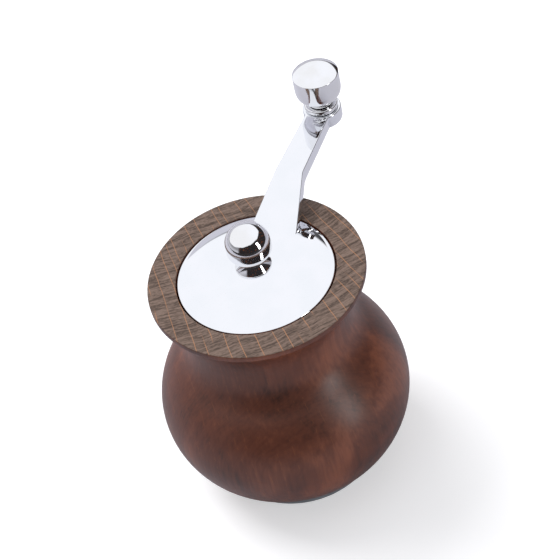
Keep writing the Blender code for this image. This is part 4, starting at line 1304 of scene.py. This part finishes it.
    def build_spider(self) -> None:
        """Build the moulded spider that centres the shaft over the burrs."""
        bore = HOLE_CORNER + self.shaft_play
        hub = bore + 2.1
        hub_low = self.spider_top - 0.6
        spoke_low = self.spider_top - 0.48
        corners: list[Corner] = [
            (bore, hub_low, 0.2), (hub, hub_low, 0.2), (hub, spoke_low, 0.05),
            (self.spider_window + 0.1, spoke_low, 0.05), (self.spider_window, self.spider_base, 0.2),
            (self.spider_radius, self.spider_base, 0.3), (self.spider_radius, self.spider_top, 0.4),
            (self.spider_radius - 0.7, spoke_low + 2.4, 0.4), (hub, spoke_low + 2.4, 0.2),
            (hub, hub_low + 3.6, 0.3), (bore, hub_low + 3.6, 0.2)]
        spider = make_blank("spider_moulding", turn_outline(eased(corners), 96))
        window = self.window(hub + 0.1, self.spider_window, self.spider_spoke,
                             self.spider_base - 1, spoke_low + 4)
        ring_cut_tree().grow(spider, {"Count": 3, "Radius": 0.0, "First angle": 0.0, "Cutter": window,
                                      "Finish": self.finishes.nylon})
        bpy.data.objects.remove(window, do_unlink=True)
        finish_piece(spider, self.finishes.nylon, Body.MILL, Slot.NYLON, "guide_spider")

    def build_spring(self) -> None:
        """Wind the spring, clear of the thrust washer where that stands highest."""
        spring = make_blank("wound_spring", bmesh.new())
        winding_tree().grow(spring, {
            "Radius": self.spring_radius, "Turns": self.spring_turns, "Low end": self.spring_base,
            "Height": self.spring_height, "Wire radius": self.spring_wire, "Wire sides": 12,
            "Steps in a turn": 32, "Finish": self.finishes.spring_steel})
        finish_piece(spring, self.finishes.spring_steel, Body.MILL, Slot.STEEL, "spring", crease=60)


# Drive ----------------------------------------------------------------------


@dataclass
class Drive:
    """The square shaft and what sits on it, the bush that turns it and the thrust washer."""

    finishes: Finishes
    side: float = 4.0
    rotor_base: float = 5.4
    square_top: float = 84.4
    stud_top: float = 96.1
    stud_radius: float = 1.5
    thread_radius: float = 1.9
    bush_wall: float = 1.1
    bush_base: float = 71.0
    bush_shoulder: float = 77.7
    bush_flange: float = 7.0
    bush_top: float = 78.9
    clip_radius: float = 4.6
    clip_thickness: float = 1.0
    spring_clip_top: float = 54.9
    rotor_clip_top: float = 14.9
    thrust_radius: float = 6.9
    thrust_base: float = 55.2
    thrust_top: float = 56.4
    thrust_play: float = 0.15
    washer_radius: float = 5.0
    washer_bore: float = 2.2
    washer_base: float = 4.5
    washer_top: float = 5.1
    nut_base: float = 1.8
    nut_top: float = 4.2
    nut_width: float = 7.0
    nut_face: float = 3.3
    sides: int = 64

    def build(self) -> None:
        """Build the shaft, bush, washers, clips and nut."""
        self.build_shaft()
        barrel = HOLE_CORNER + self.bush_wall
        self.build_square_bored("flanged_bush", [
            (barrel, self.bush_base, 0.2), (barrel, self.bush_shoulder, 0.1),
            (self.bush_flange, self.bush_shoulder, 0.2), (self.bush_flange, self.bush_top, 0.3)],
            self.finishes.nylon, Body.BUSH, Slot.NYLON, "drive_bush")
        for name, top, node in (("spring_circlip", self.spring_clip_top, "spring_clip"),
                                ("rotor_circlip", self.rotor_clip_top, "rotor_clip")):
            edge = [(self.clip_radius, top - self.clip_thickness, 0.2), (self.clip_radius, top, 0.2)]
            self.build_square_bored(name, edge, self.finishes.steel, Body.DRIVE, Slot.STEEL, node)
        self.build_washer("thrust_ring", self.thrust_radius, HOLE_CORNER + self.thrust_play,
                          self.thrust_base, self.thrust_top, Body.THRUST, "thrust_washer")
        self.build_washer("rotor_flat_washer", self.washer_radius, self.washer_bore,
                          self.washer_base, self.washer_top, Body.DRIVE, "rotor_washer")
        self.build_nut()

    def build_shaft(self) -> None:
        """Build the square shaft with a threaded stud above and a thread below."""
        low = self.rotor_base + 0.3
        rings = [round_ring(self.thread_radius - 0.45, low - 4.3, self.sides),
                 round_ring(self.thread_radius - 0.15, low - 4.0, self.sides),
                 round_ring(self.thread_radius - 0.15, low, self.sides),
                 polygon_ring(self.side - 0.2, 4, low, self.sides),
                 polygon_ring(self.side, 4, low + 0.1, self.sides),
                 polygon_ring(self.side, 4, self.square_top - 0.2, self.sides),
                 polygon_ring(self.side - 0.4, 4, self.square_top, self.sides),
                 round_ring(self.stud_radius - 0.14, self.square_top, self.sides),
                 round_ring(self.stud_radius - 0.14, self.stud_top - 0.4, self.sides),
                 round_ring(self.stud_radius - 0.5, self.stud_top, self.sides)]
        shaft = make_blank("square_shaft", loft_rings(rings))
        shaft.visible_glossy = False
        tree = winding_tree()
        for radius, base, height, turns in ((self.stud_radius - 0.16, self.square_top + 0.4, 10.6, 21.0),
                                            (self.thread_radius - 0.17, low - 3.9, 3.6, 5.0)):
            tree.grow(shaft, {
                "Radius": radius, "Turns": turns, "Low end": base, "Height": height,
                "Wire radius": 0.16, "Wire sides": 4, "Steps in a turn": 20,
                "Finish": self.finishes.steel})
        finish_piece(shaft, self.finishes.steel, Body.DRIVE, Slot.STEEL, "drive_shaft")

    def build_square_bored(self, name: str, steps: Sequence[Corner], look: bpy.types.Material,
                           body: Body, slot: Slot, node: str) -> None:
        """Build a turned piece with a square hole for the shaft.

        Args:
            name: The piece's name.
            steps: Radius, level and easing of its outer corners, from its base up.
            look: Its material.
            body: The body that it rides on.
            slot: The record's finish.
            node: The CAD node that it stands for.
        """
        first, last = steps[0], steps[-1]
        corners = [(first[0] - 0.6, first[1], 0.0), *steps, (last[0] - 0.6, last[1], 0.0)]
        outside = eased(corners, 3)[1:-1]
        rings = [round_ring(radius, level, self.sides) for radius, level in outside]
        rings += [polygon_ring(SHAFT_HOLE, 4, last[1], self.sides, 0.04),
                  polygon_ring(SHAFT_HOLE, 4, first[1], self.sides, 0.04)]
        piece = make_blank(name, loft_rings(rings, closed=True))
        finish_piece(piece, look, body, slot, node)

    def build_washer(self, name: str, radius: float, bore: float, low: float, high: float,
                     body: Body, node: str) -> None:
        """Build a flat steel washer with eased edges.

        Args:
            name: The piece's name.
            radius: Its outer radius.
            bore: The radius of its hole.
            low: The level of its underside.
            high: The level of its top.
            body: The body that it rides on.
            node: The CAD node that it stands for.
        """
        outline = eased([(bore, low, 0.12), (radius, low, 0.15),
                         (radius, high, 0.15), (bore, high, 0.12)], 3)
        piece = make_blank(name, turn_outline(outline, self.sides))
        finish_piece(piece, self.finishes.steel, body, Slot.STEEL, node)

    def build_nut(self) -> None:
        """Build the hexagon nut with its chamfered corners."""
        low, high, bore, count = self.nut_base, self.nut_top, self.thread_radius + 0.3, 72
        rings = [round_ring(bore, low + 0.25, count), round_ring(bore + 0.3, low, count),
                 round_ring(self.nut_face, low, count),
                 polygon_ring(self.nut_width, 6, low + 0.35, count, 0.02),
                 polygon_ring(self.nut_width, 6, high - 0.35, count, 0.02),
                 round_ring(self.nut_face, high, count),
                 round_ring(bore + 0.3, high, count), round_ring(bore, high - 0.25, count)]
        nut = make_blank("hexagon_nut", loft_rings(rings, closed=True))
        finish_piece(nut, self.finishes.steel, Body.DRIVE, Slot.STEEL, "rotor_nut")


# Crank ----------------------------------------------------------------------


@dataclass
class Crank:
    """The chromed crank casting: shallow dome, rising arm and the boss of its knob."""

    finishes: Finishes
    collar: float = 83.1
    dome_radius: float = 24.6
    crown: float = 2.75
    flat_radius: float = 11.0
    bend_radius: float = 32.0
    roll: float = 0.45
    skirt: float = 2.2
    skirt_wall: float = 1.4
    wall: float = 1.6
    bore: float = 3.2
    root_reach: float = 18.6
    root_rise: float = 2.9
    root_width: float = 14.6
    kink_reach: float = 34.7
    kink_width: float = 9.1
    tip_width: float = 7.8
    arm_rise: float = 10.4
    arm_thickness: float = 4.4
    underside: float = 0.9
    edge: float = 0.35
    reach: float = 65.2
    boss_radius: float = 6.3
    pin_radius: float = 2.0
    hub_boss_radius: float = 7.6
    hub_boss_bore: float = 5.3
    hub_boss_base: float = 79.5
    hub_seat: float = 84.0
    hub_radius: float = 5.0
    hub_base: float = 79.2
    hub_top: float = 83.7
    hub_bevel: float = 0.2
    under_bend: float = 0.7
    arm_start: float = 14.4
    arm_step: float = 0.35
    arm_steps: int = 84
    sides: int = 224

    def dome_rise(self, radius: float) -> float:
        """Return the dome's height above the collar, level in the middle and bent down outside."""
        out = min(max(radius - self.flat_radius, 0.0), self.dome_radius - self.flat_radius)
        return self.crown - self.bend_radius + math.sqrt(self.bend_radius ** 2 - out ** 2)

    def dome_outline(self) -> list[Point]:
        """Return the outline of the dome, its rolled edge, skirt and hollow underside."""
        roll_radius = self.dome_radius - self.roll
        steps = 26
        face = [(self.bore + (roll_radius - self.bore) * s / steps,
                 self.collar + self.dome_rise(self.bore + (roll_radius - self.bore) * s / steps), 0.0)
                for s in range(steps + 1)]
        tilt = math.degrees(math.asin((roll_radius - self.flat_radius) / self.bend_radius))
        roll_centre = (roll_radius - self.roll * math.sin(math.radians(tilt)),
                       face[-1][1] - self.roll * math.cos(math.radians(tilt)))
        rolled = arched(roll_centre, self.dome_radius - roll_centre[0], self.roll, 86 - tilt, 0, 9)
        low = self.collar - self.skirt
        inner = self.dome_radius - self.skirt_wall
        bend = self.under_bend * inner
        boss = self.hub_boss_radius
        under: list[Corner] = [
            (self.dome_radius, low, 0.4), (inner, low, 0.4),
            (inner, self.collar + self.dome_rise(inner) - self.wall, 0.2),
            (bend, self.collar + self.dome_rise(bend) - self.wall, 2.0),
            (boss, self.collar + self.dome_rise(boss) - self.wall, 0.6),
            (boss, self.hub_boss_base, 0.4), (self.hub_boss_bore, self.hub_boss_base, 0.2),
            (self.hub_boss_bore, self.hub_seat, 0.1), (self.bore, self.hub_seat, 0.1)]
        return eased(face + rolled + under)

    def half_width(self, reach: float) -> float:
        """Return half the arm's width at a reach."""
        if reach < self.kink_reach:
            share = (reach - self.root_reach) / (self.kink_reach - self.root_reach)
            return (self.root_width + (self.kink_width - self.root_width) * share) / 2
        share = (reach - self.kink_reach) / (self.reach - self.kink_reach)
        return (self.kink_width + (self.tip_width - self.kink_width) * share) / 2

    def top_level(self, reach: float, side: float) -> float:
        """Return the level of the arm's top, which runs out of the dome and kinks level."""
        slope = (self.arm_rise - self.root_rise) / (self.kink_reach - self.root_reach)
        ramp = self.root_rise + slope * (reach - self.root_reach)
        ramp = -smooth_most(-ramp, -self.arm_rise, 0.35)
        radius = math.hypot(reach, side)
        sunk = self.dome_rise(radius) - 0.05 * max(self.root_reach - 2.4 - reach, 0.0)
        return self.collar + smooth_most(ramp, sunk, 0.9)

    def base_level(self, reach: float) -> float:
        """Return the level of the arm's underside."""
        overhang = self.dome_radius + 0.4
        outer = self.arm_rise - self.arm_thickness
        slope = (outer - self.underside) / (self.kink_reach + 1.0 - overhang)
        ramp = self.underside + slope * (reach - overhang)
        ramp = smooth_most(ramp, self.underside, 0.6)
        return self.collar - smooth_most(-ramp, -outer, 0.6)

    def arm_ring(self, reach: float) -> Ring:
        """Return one upright section of the arm, with eased edges."""
        half = self.half_width(reach)
        low = self.base_level(reach)
        ease = min(self.edge, (self.top_level(reach, 0.0) - low) / 3)
        turns = [math.radians(90 * step / 4) for step in range(5)]
        outline: list[Point] = []
        outline += [(half - ease + ease * math.sin(t), low + ease - ease * math.cos(t)) for t in turns]
        crest = self.top_level(reach, half) - ease
        outline += [(half - ease + ease * math.cos(t), crest + ease * math.sin(t)) for t in turns]
        across = 10
        for step in range(1, across):
            side = (half - ease) * (1 - 2 * step / across)
            outline.append((side, self.top_level(reach, side)))
        outline += [(-half + ease - ease * math.sin(t), crest + ease * math.cos(t)) for t in turns]
        outline += [(-half + ease - ease * math.cos(t), low + ease - ease * math.sin(t)) for t in turns]
        return [(reach, side, level) for side, level in outline]

    def build(self) -> None:
        """Build the casting out of its dome, arm and boss, bore it and dress it."""
        crank = make_blank("crank_casting_chromed", turn_outline(self.dome_outline(), self.sides))
        reaches = [self.arm_start + self.arm_step * step for step in range(self.arm_steps)]
        reaches += [reaches[-1] + (self.reach - reaches[-1]) * step / 12 for step in range(1, 13)]
        arm = make_blank("arm", loft_rings([self.arm_ring(reach) for reach in reaches]))
        combine(crank, arm, "UNION")
        top = self.collar + self.arm_rise
        low = top - self.arm_thickness
        boss = eased([(0.0, low - 0.3, 0.0), (self.boss_radius, low - 0.3, 0.5),
                      (self.boss_radius, top + 0.02, 0.4), (0.0, top + 0.02, 0.0)], 5)
        combine(crank, make_blank("boss", turn_outline(boss, 96, (self.reach, 0.0))), "UNION")
        bore = self.pin_radius + 0.3
        hole = make_blank("bore", turn_outline(
            [(0.0, low - 2), (bore, low - 2), (bore, top + 2), (0.0, top + 2)], 48, (self.reach, 0.0)))
        combine(crank, hole, "DIFFERENCE")
        finish_piece(crank, self.finishes.crank_chrome, Body.CRANK, Slot.CHROME, "crank_casting")
        self.build_hub()

    def build_hub(self) -> None:
        """Build the square holed steel insert under the dome."""
        count = 64
        bevelled = self.hub_base + self.hub_bevel
        rings = [round_ring(self.hub_radius - self.hub_bevel, self.hub_base, count),
                 round_ring(self.hub_radius, bevelled, count),
                 round_ring(self.hub_radius, self.hub_top, count),
                 polygon_ring(SHAFT_HOLE, 4, self.hub_top, count, 0.04),
                 polygon_ring(SHAFT_HOLE, 4, bevelled, count, 0.04),
                 polygon_ring(SHAFT_HOLE + 1.5 * self.hub_bevel, 4, self.hub_base, count, 0.04)]
        hub = make_blank("square_hub", loft_rings(rings, closed=True))
        finish_piece(hub, self.finishes.steel, Body.CRANK, Slot.STEEL, "drive_hub")


@dataclass
class CrankKnob:
    """The drum shaped knob on the crank, with its washer, pin and snap ring."""

    finishes: Finishes
    reach: float = 65.2
    arm_top: float = 93.5
    washer_radius: float = 5.5
    washer_base: float = 93.8
    washer_top: float = 95.6
    base: float = 95.9
    top: float = 108.2
    radius: float = 7.5
    side_height: float = 6.4
    rounding: float = 4.2
    neck_radius: float = 4.2
    neck_height: float = 1.7
    pin_radius: float = 2.0
    crown: float = 108.7
    crown_flat: float = 3.5
    crown_bend: float = 7.0
    cap: float = 2.2
    groove_share: float = 0.62
    groove_radius: float = 3.5
    groove_height: float = 1.6
    sides: int = 128

    def build(self) -> None:
        """Build the knob and what it turns on."""
        centre = (self.reach, 0.0)
        bore = self.pin_radius + 0.3
        ring_low = self.base + self.groove_share * (self.top - self.base) - 0.3
        ring_top = ring_low + self.groove_height
        bore_top = self.top - self.cap
        side_base = self.top - self.side_height
        neck_top = self.base + self.neck_height
        bowl = arched((self.neck_radius, side_base), self.radius - self.neck_radius, self.rounding, -84, 0, 14)
        shoulder = self.crown_line()
        corners: list[Corner] = [
            (0.0, bore_top, 0.0), (bore, bore_top, 0.1), (bore, ring_top, 0.0),
            (self.groove_radius, ring_top, 0.0), (self.groove_radius, ring_low, 0.0),
            (bore, ring_low, 0.0), (bore, self.base, 0.15),
            (self.neck_radius, self.base, 0.3), (self.neck_radius, neck_top - 0.2, 0.1)]
        corners += bowl + shoulder
        knob = make_blank("drum_knob", turn_outline(eased(corners), self.sides, centre))
        finish_piece(knob, self.finishes.knob_chrome, Body.CRANK_KNOB, Slot.CHROME, "crank_knob")
        washer = eased([(bore, self.washer_base, 0.1), (self.washer_radius, self.washer_base, 0.5),
                        (self.washer_radius, self.washer_top, 0.5), (bore, self.washer_top, 0.1)], 5)
        ring = make_blank("spacer_ring", turn_outline(washer, 96, centre))
        finish_piece(ring, self.finishes.knob_chrome, Body.CRANK, Slot.CHROME, "knob_washer")
        self.build_pin(centre, ring_low, bore_top - 0.3)

    def crown_line(self) -> list[Corner]:
        """Return the knob's top, level in its middle and bent down outside, from its rim inwards."""
        found: list[Corner] = []
        steps = 20
        for step in range(steps + 1):
            radius = self.radius * (1 - step / steps)
            out = max(radius - self.crown_flat, 0.0)
            level = self.crown - self.crown_bend + math.sqrt(self.crown_bend ** 2 - out ** 2)
            found.append((radius, level, 0.0 if step else 0.15))
        return found

    def build_pin(self, centre: Point, ring_low: float, pin_top: float) -> None:
        """Build the riveted pin and the snap ring in its groove.

        Args:
            centre: Where the knob's axis stands.
            ring_low: Where the groove starts.
            pin_top: Where the pin ends.
        """
        ring_top = ring_low + self.groove_height
        head_top = self.arm_top - 4.4 - 0.3 - 0.3
        groove = self.pin_radius - 0.55
        corners: list[Corner] = [
            (0.0, head_top - 1.3, 0.0), (1.8, head_top - 1.3, 0.5), (3.3, head_top - 0.75, 0.6),
            (3.6, head_top, 0.1), (self.pin_radius, head_top, 0.0), (self.pin_radius, ring_low, 0.0),
            (groove, ring_low, 0.0), (groove, ring_top, 0.0), (self.pin_radius, ring_top, 0.0),
            (self.pin_radius, pin_top, 0.3), (0.0, pin_top, 0.0)]
        pin = make_blank("riveted_pin", turn_outline(eased(corners), 64, centre))
        finish_piece(pin, self.finishes.steel, Body.CRANK, Slot.STEEL, "knob_pin")
        clip = eased([(self.pin_radius - 0.25, ring_low + 0.3, 0.1), (3.2, ring_low + 0.3, 0.3),
                      (3.2, ring_low + 1.3, 0.3), (self.pin_radius - 0.25, ring_low + 1.3, 0.1)], 3)
        snap = make_blank("snap_ring", turn_outline(clip, 48, centre))
        finish_piece(snap, self.finishes.steel, Body.CRANK, Slot.STEEL, "knob_snap_ring")


@dataclass
class AdjustingKnob:
    """The ball on a flared foot that sets the grind, with its brass insert."""

    finishes: Finishes
    base: float = 86.0
    ball_radius: float = 7.0
    ball_rise: float = 6.1
    ball_level: float = 96.4
    rim_radius: float = 7.05
    rim_level: float = 94.1
    neck_radius: float = 3.95
    neck_level: float = 91.3
    skirt_radius: float = 5.6
    foot_radius: float = 5.7
    foot_edge: float = 1.0
    bore: float = 2.8
    insert_height: float = 11.6
    sides: int = 160

    def build(self) -> None:
        """Build the knob and its insert."""
        foot_top = self.base + self.foot_edge
        neck = (self.neck_radius, self.neck_level)
        skirt = bowed((self.skirt_radius, foot_top), (self.skirt_radius - 0.8, foot_top + 1.2),
                      (self.neck_radius, self.neck_level - 1.4), neck, 12)
        under = arched((self.neck_radius, self.rim_level), self.rim_radius - self.neck_radius,
                       self.rim_level - self.neck_level, -86, 0, 12)
        cap = arched((0.0, self.ball_level), self.ball_radius, self.ball_rise, 0, 90, 32)
        bore_end = self.base + 0.2 + self.insert_height + 0.6
        corners: list[Corner] = [
            (0.0, bore_end, 0.0), (self.bore, bore_end, 0.1), (self.bore, self.base, 0.15),
            (self.foot_radius, self.base, 0.3), (self.foot_radius, foot_top, 0.25)]
        corners += skirt + under + cap[:-1] + [(0.0, self.ball_level + self.ball_rise, 0.0)]
        knob = make_blank("ball_knob", turn_outline(eased(corners), self.sides))
        # In the photograph the dome stays white below the knob, so the mirror images of the knob and
        # of what stands inside it are left out
        knob.visible_glossy = False
        finish_piece(knob, self.finishes.knob_chrome, Body.ADJUSTER, Slot.CHROME, "adjusting_knob")
        low, high = self.base + 0.2, self.base + 0.2 + self.insert_height
        sleeve = eased([(1.8, low, 0.15), (2.5, low, 0.15), (2.5, high, 0.15), (1.8, high, 0.15)], 3)
        insert = make_blank("threaded_insert", turn_outline(sleeve, 48))
        insert.visible_glossy = False
        finish_piece(insert, self.finishes.brass, Body.ADJUSTER, Slot.BRASS, "knob_insert")


# Studio ---------------------------------------------------------------------


@dataclass(frozen=True)
class Lamp:
    """A rectangular lamp. Its place is in millimetres in the picture's own frame."""

    name: str
    place: tuple[float, float, float]
    width: float
    height: float
    power: float
    mirrored: bool


@dataclass
class Studio:
    """Floor, sky, lamps and camera, set about the mill's axis.

    Places are in millimetres in the picture's own frame: x to the right, y away from the camera and
    z up from the table. The crank stands 58 degrees round from x in that frame.
    """

    crank_bearing: float = 58.0
    camera_back: float = 365.14
    camera_up: float = 369.63
    collar: float = 83.1
    pan: float = -1.047
    tilt: float = 45.799
    roll: float = -14.177
    focal_pixels: float = 1700.0
    image_pixels: float = 560.0
    box_middle: tuple[float, float, float] = (-0.176, 0.233, 0.956)
    box_reach: float = 1.84
    table_slope: float = 0.32
    table_drop: float = 0.105
    table: str = "e6e6e8"
    table_mirrored: str = "bfbec6"
    table_lift: float = 0.36
    backdrop: str = "d6d5df"
    box_colour: str = "fbfcff"
    room_dark: str = "2b2829"
    room_mottle: str = "8a5030"
    wall_low: str = "d1d1d8"
    wall_high: str = "96969a"
    fill_colour: str = "f7f8fb"
    fill: float = 0.62
    lamp_aim: tuple[float, float, float] = (0.0, 0.0, 40.0)
    lamps: tuple[Lamp, ...] = (
        Lamp("softbox_main", (-450.0, 520.0, 1000.0), 0.75, 0.75, 11.0, False),
        Lamp("strip_light", (670.0, -600.0, 300.0), 0.17, 0.70, 2.6, True))

    def to_frame(self) -> Matrix:
        """Return the matrix from the picture's frame, in metres, to the object's frame."""
        return Matrix.Translation(mill_axis()) @ Matrix.Rotation(math.radians(-self.crank_bearing), 4, "Z")

    def build(self) -> None:
        """Build the whole studio."""
        self.build_camera()
        self.build_floor()
        self.build_sky()
        self.build_lamps()
        bpy.context.scene.view_settings.view_transform = "Standard"

    def build_camera(self) -> None:
        """Stand the camera where the photograph was taken from."""
        data = bpy.data.cameras.new("camera")
        data.sensor_width = 36.0
        data.lens = self.focal_pixels / self.image_pixels * data.sensor_width
        data.clip_start, data.clip_end = 0.01, 20.0
        camera = bpy.data.objects.new("camera", data)
        bpy.context.scene.collection.objects.link(camera)
        aim = (Matrix.Rotation(math.radians(self.pan), 4, "Z")
               @ Matrix.Rotation(math.radians(90 - self.tilt), 4, "X")
               @ Matrix.Rotation(math.radians(self.roll), 4, "Z"))
        stand = Matrix.Translation((0.0, -self.camera_back * MM, (self.collar + self.camera_up) * MM))
        camera.matrix_world = self.to_frame() @ stand @ aim
        bpy.context.scene.camera = camera

    def build_floor(self) -> None:
        """Lay a wide pale floor that keeps the soft shadow."""
        shape = bmesh.new()
        bmesh.ops.create_circle(shape, cap_ends=True, segments=96, radius=2.5)
        mesh = bpy.data.meshes.new("floor")
        shape.to_mesh(mesh)
        shape.free()
        floor = bpy.data.objects.new("floor", mesh)
        floor.matrix_world = self.to_frame() @ Matrix.Translation((0.0, 0.0, -0.00005))
        bpy.context.scene.collection.objects.link(floor)
        look, tree, shader = start_look("pale_floor")
        shader.inputs["Roughness"].default_value = 0.9
        shader.inputs["Specular IOR Level"].default_value = 0.1
        ray = add_node(tree, "ShaderNodeLightPath")
        # Metal sees the table end soon in front of the mill and later at its sides
        place = add_node(tree, "ShaderNodeTexCoord").outputs["Object"]
        away = add_node(tree, "ShaderNodeVectorMath", {0: place}, operation="LENGTH").outputs["Value"]
        back = add_node(tree, "ShaderNodeSeparateXYZ", {0: place}).outputs[1]
        inside = calc(tree, "SUBTRACT", calc(tree, "MULTIPLY", back, self.table_slope),
                      calc(tree, "MULTIPLY", away, self.table_drop))
        ended = calc(tree, "SUBTRACT", 1.0, remap(tree, inside, -0.106, -0.090))
        mirrored = blend_colours(tree, ended, srgb(self.table_mirrored), srgb(self.room_dark))
        tone = blend_colours(tree, ray.outputs["Is Glossy Ray"], srgb(self.table), mirrored)
        tree.links.new(tone, shader.inputs["Base Color"])
        shader.inputs["Emission Color"].default_value = (1.0, 1.0, 1.0, 1.0)
        lift = calc(tree, "MULTIPLY", ray.outputs["Is Camera Ray"], self.table_lift)
        tree.links.new(lift, shader.inputs["Emission Strength"])
        # Far off, the table turns as white as the room behind it, so that low views show no edge
        white = add_node(tree, "ShaderNodeEmission", {"Color": (1.0, 1.0, 1.0, 1.0), "Strength": 1.0})
        lost = calc(tree, "MULTIPLY", remap(tree, away, 0.30, 0.80), ray.outputs["Is Camera Ray"])
        shown = add_node(tree, "ShaderNodeMixShader", {0: lost, 1: shader.outputs[0], 2: white.outputs[0]})
        tree.links.new(shown.outputs[0], tree.nodes["Material Output"].inputs["Surface"])
        mesh.materials.append(look)

    def build_sky(self) -> None:
        """Make the room: plain fill for the object, and a bright tent over a dark band for metal."""
        world = bpy.data.worlds.new("studio")
        bpy.context.scene.world = world
        world.use_nodes = True
        tree = world.node_tree
        tree.nodes.clear()
        ray = add_node(tree, "ShaderNodeLightPath")
        toward = add_node(tree, "ShaderNodeTexCoord").outputs["Generated"]
        turned = add_node(tree, "ShaderNodeVectorRotate", {
            "Vector": toward, "Angle": math.radians(self.crank_bearing)}, rotation_type="Z_AXIS")
        box = self.box_share(tree, turned.outputs[0])
        seen = blend_colours(tree, box, self.room_colour(tree, turned.outputs[0]), srgb(self.box_colour))
        glow = calc(tree, "ADD", 1.0, calc(tree, "MULTIPLY", box, 0.1))
        mirror = add_node(tree, "ShaderNodeBackground", {"Color": seen, "Strength": glow})
        fill = add_node(tree, "ShaderNodeBackground", {
            "Color": srgb(self.fill_colour), "Strength": self.fill})
        white = add_node(tree, "ShaderNodeBackground", {"Color": (1.0, 1.0, 1.0, 1.0), "Strength": 1.0})
        metal = add_node(tree, "ShaderNodeMixShader", {
            0: ray.outputs["Is Glossy Ray"], 1: fill.outputs[0], 2: mirror.outputs[0]})
        shown = add_node(tree, "ShaderNodeMixShader", {
            0: ray.outputs["Is Camera Ray"], 1: metal.outputs[0], 2: white.outputs[0]})
        add_node(tree, "ShaderNodeOutputWorld", {0: shown.outputs[0]})

    def box_share(self, tree: bpy.types.NodeTree, toward: bpy.types.NodeSocket) -> bpy.types.NodeSocket:
        """Return where a direction meets the eight sided softbox overhead.

        Args:
            tree: The world's tree.
            toward: The direction in the picture's frame.

        Returns:
            1 inside the box and 0 outside, with a soft edge.
        """
        middle = Vector(self.box_middle).normalized()
        across = Vector((0.0, 1.0, 0.0)).cross(middle).normalized()
        parts = [add_node(tree, "ShaderNodeVectorMath", {0: toward, 1: tuple(axis)},
                          operation="DOT_PRODUCT").outputs["Value"]
                 for axis in (across, middle.cross(across), middle)]
        sideways, upward = (calc(tree, "ABSOLUTE", part) for part in parts[:2])
        slanted = calc(tree, "MULTIPLY", calc(tree, "ADD", sideways, upward), math.sqrt(0.5))
        widest = calc(tree, "MAXIMUM", calc(tree, "MAXIMUM", sideways, upward), slanted)
        spread = calc(tree, "DIVIDE", widest, calc(tree, "MAXIMUM", parts[2], 0.01))
        return remap(tree, calc(tree, "SUBTRACT", self.box_reach, spread), -0.10, 0.10)

    def room_colour(self, tree: bpy.types.NodeTree, toward: bpy.types.NodeSocket) -> bpy.types.NodeSocket:
        """Return what metal sees round the softbox.

        Args:
            tree: The world's tree.
            toward: The direction in the picture's frame.

        Returns:
            The colour of the dark room, the grey wall at the left or the backdrop.
        """
        parts = add_node(tree, "ShaderNodeSeparateXYZ", {0: toward})
        right, back, up = parts.outputs[0], parts.outputs[1], parts.outputs[2]
        mottle = remap(tree, noise(tree, toward, (7.0, 7.0, 7.0), 2.0), 0.56, 0.70)
        dark = blend_colours(tree, calc(tree, "MULTIPLY", mottle, 0.5), srgb(self.room_dark),
                             srgb(self.room_mottle))
        bearing = calc(tree, "ARCTAN2", right, back)
        leftward = calc(tree, "MULTIPLY", remap(tree, bearing, math.radians(-132), math.radians(-120)),
                        calc(tree, "SUBTRACT", 1.0, remap(tree, bearing, math.radians(5), math.radians(35))))
        wall = blend_colours(tree, remap(tree, up, 0.0, 0.30), srgb(self.wall_low),
                             srgb(self.wall_high))
        room = blend_colours(tree, leftward, dark, wall)
        under = calc(tree, "SUBTRACT", calc(tree, "MULTIPLY", back, self.table_slope),
                     calc(tree, "ADD", up, self.table_drop))
        return blend_colours(tree, remap(tree, under, -0.02, 0.02), room, srgb(self.backdrop))

    def build_lamps(self) -> None:
        """Hang the lamps: a large softbox up left behind the mill and an upright strip at the right."""
        aim = self.to_frame() @ Vector([value * MM for value in self.lamp_aim])
        for lamp in self.lamps:
            data = bpy.data.lights.new(lamp.name, "AREA")
            data.shape = "RECTANGLE"
            data.size, data.size_y = lamp.width, lamp.height
            data.energy = lamp.power
            thing = bpy.data.objects.new(lamp.name, data)
            bpy.context.scene.collection.objects.link(thing)
            thing.location = self.to_frame() @ Vector([value * MM for value in lamp.place])
            thing.rotation_mode = "QUATERNION"
            thing.rotation_quaternion = (aim - thing.location).to_track_quat("-Z", "Y")
            thing.visible_glossy = lamp.mirrored


def main() -> None:
    """Build every sub-assembly and the studio in order."""
    logging.basicConfig(level=logging.INFO, format="%(name)s: %(message)s")
    finishes = Finishes()
    for group in (WoodenBody(finishes), FootCarrier(finishes), Burrs(finishes), NeckParts(finishes),
                  Drive(finishes), Crank(finishes), CrankKnob(finishes), AdjustingKnob(finishes)):
        LOG.info("building %s", type(group).__name__)
        group.build()
    Studio().build()


if __name__ == "__main__":
    main()
